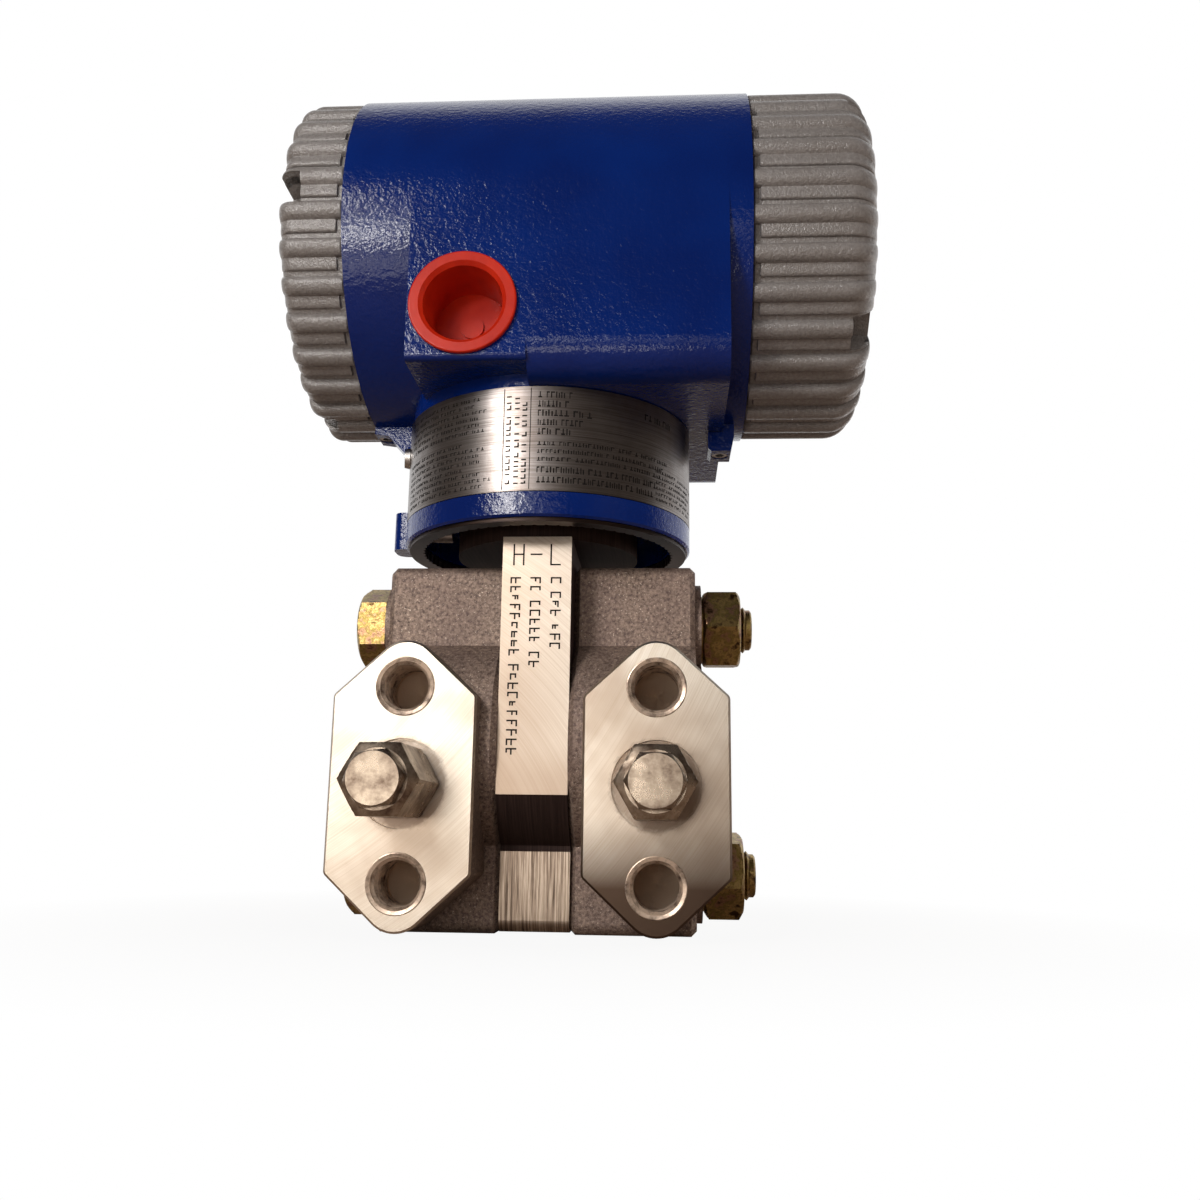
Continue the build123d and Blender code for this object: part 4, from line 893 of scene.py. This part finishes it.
# rays that see the white background: the camera's, and those that metal and glass send on
def backdropRays(tree):
    path = tree.nodes.new("ShaderNodeLightPath")
    total = path.outputs["Is Camera Ray"]
    for label in ("Is Glossy Ray", "Is Transmission Ray"):
        total = joined(tree, "MAXIMUM", total, path.outputs[label])
    return path.outputs["Is Camera Ray"], total


# metal and glass see the white floor where it lies behind the object, from nearY to farY in metres;
# close round the object, within glowReach, a little of the floor's own shading shows
stageSet = dict(floorZ=-0.0322, size=4.0, colour=(0.30, 0.22, 0.17, 1), roughness=0.75, glowNear=0.93,
                glowReach=(0.07, 0.17), nearY=0.3, farY=1.2)
m = NodeMat("floorWhite")
m.finish(Base_Color=stageSet["colour"], Roughness=stageSet["roughness"])
glow = m.add("ShaderNodeEmission", in_Color=(1, 1, 1, 1), in_Strength=1.0)
cameraRays, whiteRays = backdropRays(m.tree)
reach = m.add("ShaderNodeVectorMath", operation="LENGTH")
m.link(m.coord.outputs["Object"], reach.inputs[0])
share = m.remap(reach.outputs["Value"], *stageSet["glowReach"], stageSet["glowNear"], 1.0)
behindObject = m.remap(m.place()["Y"], stageSet["nearY"], stageSet["farY"], 0.0, 1.0)
seen = m.math("MAXIMUM", m.math("MULTIPLY", cameraRays, share), m.math("MULTIPLY", whiteRays, behindObject))
out = [n for n in m.tree.nodes if n.type == "OUTPUT_MATERIAL"][0]
m.link(mixShader(m.tree, seen, m.bsdf.outputs[0], glow.outputs[0]), out.inputs[0])
bm = bmesh.new()
bmesh.ops.create_grid(bm, x_segments=8, y_segments=8, size=stageSet["size"])
for v in bm.verts:
    v.co.z = stageSet["floorZ"]
mesh = bpy.data.meshes.new("floor")
bm.to_mesh(mesh)
bm.free()
mesh.materials.append(m.mat)
floor = bpy.data.objects.new("floor", mesh)
bpy.context.collection.objects.link(floor)

# the room is dim and warm; the white backdrop stands behind the object, so metal and glass see it there
studioSet = dict(strength=0.26, backdropFrom=0.10, backdropFull=0.45)
tones = ((0.0, (0.20, 0.15, 0.12, 1)), (0.5, (0.46, 0.37, 0.30, 1)), (1.0, (0.30, 0.28, 0.28, 1)))
world = bpy.data.worlds.new("studio")
bpy.context.scene.world = world
world.use_nodes = True
tree = world.node_tree
back = tree.nodes["Background"]
coord = tree.nodes.new("ShaderNodeTexCoord")
split = tree.nodes.new("ShaderNodeSeparateXYZ")
ramp = tree.nodes.new("ShaderNodeValToRGB")
tree.links.new(coord.outputs["Generated"], split.inputs[0])
remap = tree.nodes.new("ShaderNodeMapRange")
remap.inputs["From Min"].default_value = -1.0
tree.links.new(split.outputs["Z"], remap.inputs["Value"])
tree.links.new(remap.outputs[0], ramp.inputs[0])
ramp.color_ramp.elements.new(0.5)
for element, (pos, colour) in zip(ramp.color_ramp.elements, tones):
    element.position = pos
    element.color = colour
tree.links.new(ramp.outputs[0], back.inputs["Color"])
back.inputs["Strength"].default_value = studioSet["strength"]
white = tree.nodes.new("ShaderNodeBackground")
white.inputs["Color"].default_value = (1, 1, 1, 1)
behind = tree.nodes.new("ShaderNodeMapRange")
behind.inputs["From Min"].default_value = studioSet["backdropFrom"]
behind.inputs["From Max"].default_value = studioSet["backdropFull"]
tree.links.new(split.outputs["Y"], behind.inputs["Value"])
cameraRays, whiteRays = backdropRays(tree)
shown = joined(tree, "MAXIMUM", cameraRays, joined(tree, "MULTIPLY", whiteRays, behind.outputs[0]))
worldOut = [n for n in tree.nodes if n.type == "OUTPUT_WORLD"][0]
tree.links.new(mixShader(tree, shown, back.outputs[0], white.outputs[0]), worldOut.inputs[0])

cameraSet = dict(place=(0.0287272, -0.2942048, -0.0096251), turn=(101.89197, -0.70945, 3.28185), lens=33.0884)
camData = bpy.data.cameras.new("camera")
camera = bpy.data.objects.new("camera", camData)
bpy.context.collection.objects.link(camera)
camera.location = cameraSet["place"]
camera.rotation_euler = [radians(a) for a in cameraSet["turn"]]
camData.lens = cameraSet["lens"]
camData.sensor_width = 36
camData.clip_start = 0.01
camData.clip_end = 20
bpy.context.scene.camera = camera


def areaLight(name, place, target, size, power, colour, mirrored=True):
    data = bpy.data.lights.new(name, "AREA")
    data.shape = "RECTANGLE"
    data.size, data.size_y = size
    data.energy = power
    data.color = colour
    lamp = bpy.data.objects.new(name, data)
    bpy.context.collection.objects.link(lamp)
    lamp.location = place
    lamp.visible_glossy = mirrored
    lamp.rotation_euler = (Vector(target) - Vector(place)).to_track_quat("-Z", "Y").to_euler()


# place, target, size, watts, colour, and False for a lamp that metal doesn't mirror
centre = (0.0, -0.03, 0.06)
lampSet = dict(
    flash=((-0.105, -0.290, 0.125), (0.0, -0.05, 0.07), (0.04, 0.04), 0.15, (1.0, 0.97, 0.93)),
    edgeSpark=((0.007, -0.300, 0.020), (0.0, -0.05, 0.08), (0.03, 0.02), 0.016, (1.0, 0.97, 0.93)),
    nearPanel=((-0.130, -0.42, 0.0), (0.0, -0.06, 0.0), (0.25, 0.06), 0.165, (1.0, 0.96, 0.90)),
    rightPanel=((0.045, -0.42, 0.125), (0.03, -0.06, 0.02), (0.10, 0.06), 0.025, (1.0, 0.95, 0.88)),
    bandPanel=((-0.08, -0.52, 0.20), (0.0, -0.06, 0.07), (0.10, 0.06), 0.11, (0.97, 0.98, 1.0)),
    keyLeft=((-0.48, -0.85, 0.46), centre, (0.30, 0.30), 5.0, (1.0, 0.97, 0.94)),
    fillRight=((0.75, -0.60, 0.28), centre, (0.40, 0.40), 2.2, (1.0, 0.96, 0.92), False),
    backLeft=((-0.85, 0.60, 0.12), centre, (0.60, 0.50), 12.0, (1.0, 0.98, 0.96), False),
    backRight=((0.85, 0.60, 0.12), centre, (0.60, 0.50), 17.0, (1.0, 0.98, 0.96), False),
)
for name, settings in lampSet.items():
    areaLight(name, *settings)
bpy.context.scene.view_settings.view_transform = "Standard"
print("stage, lights and camera set")
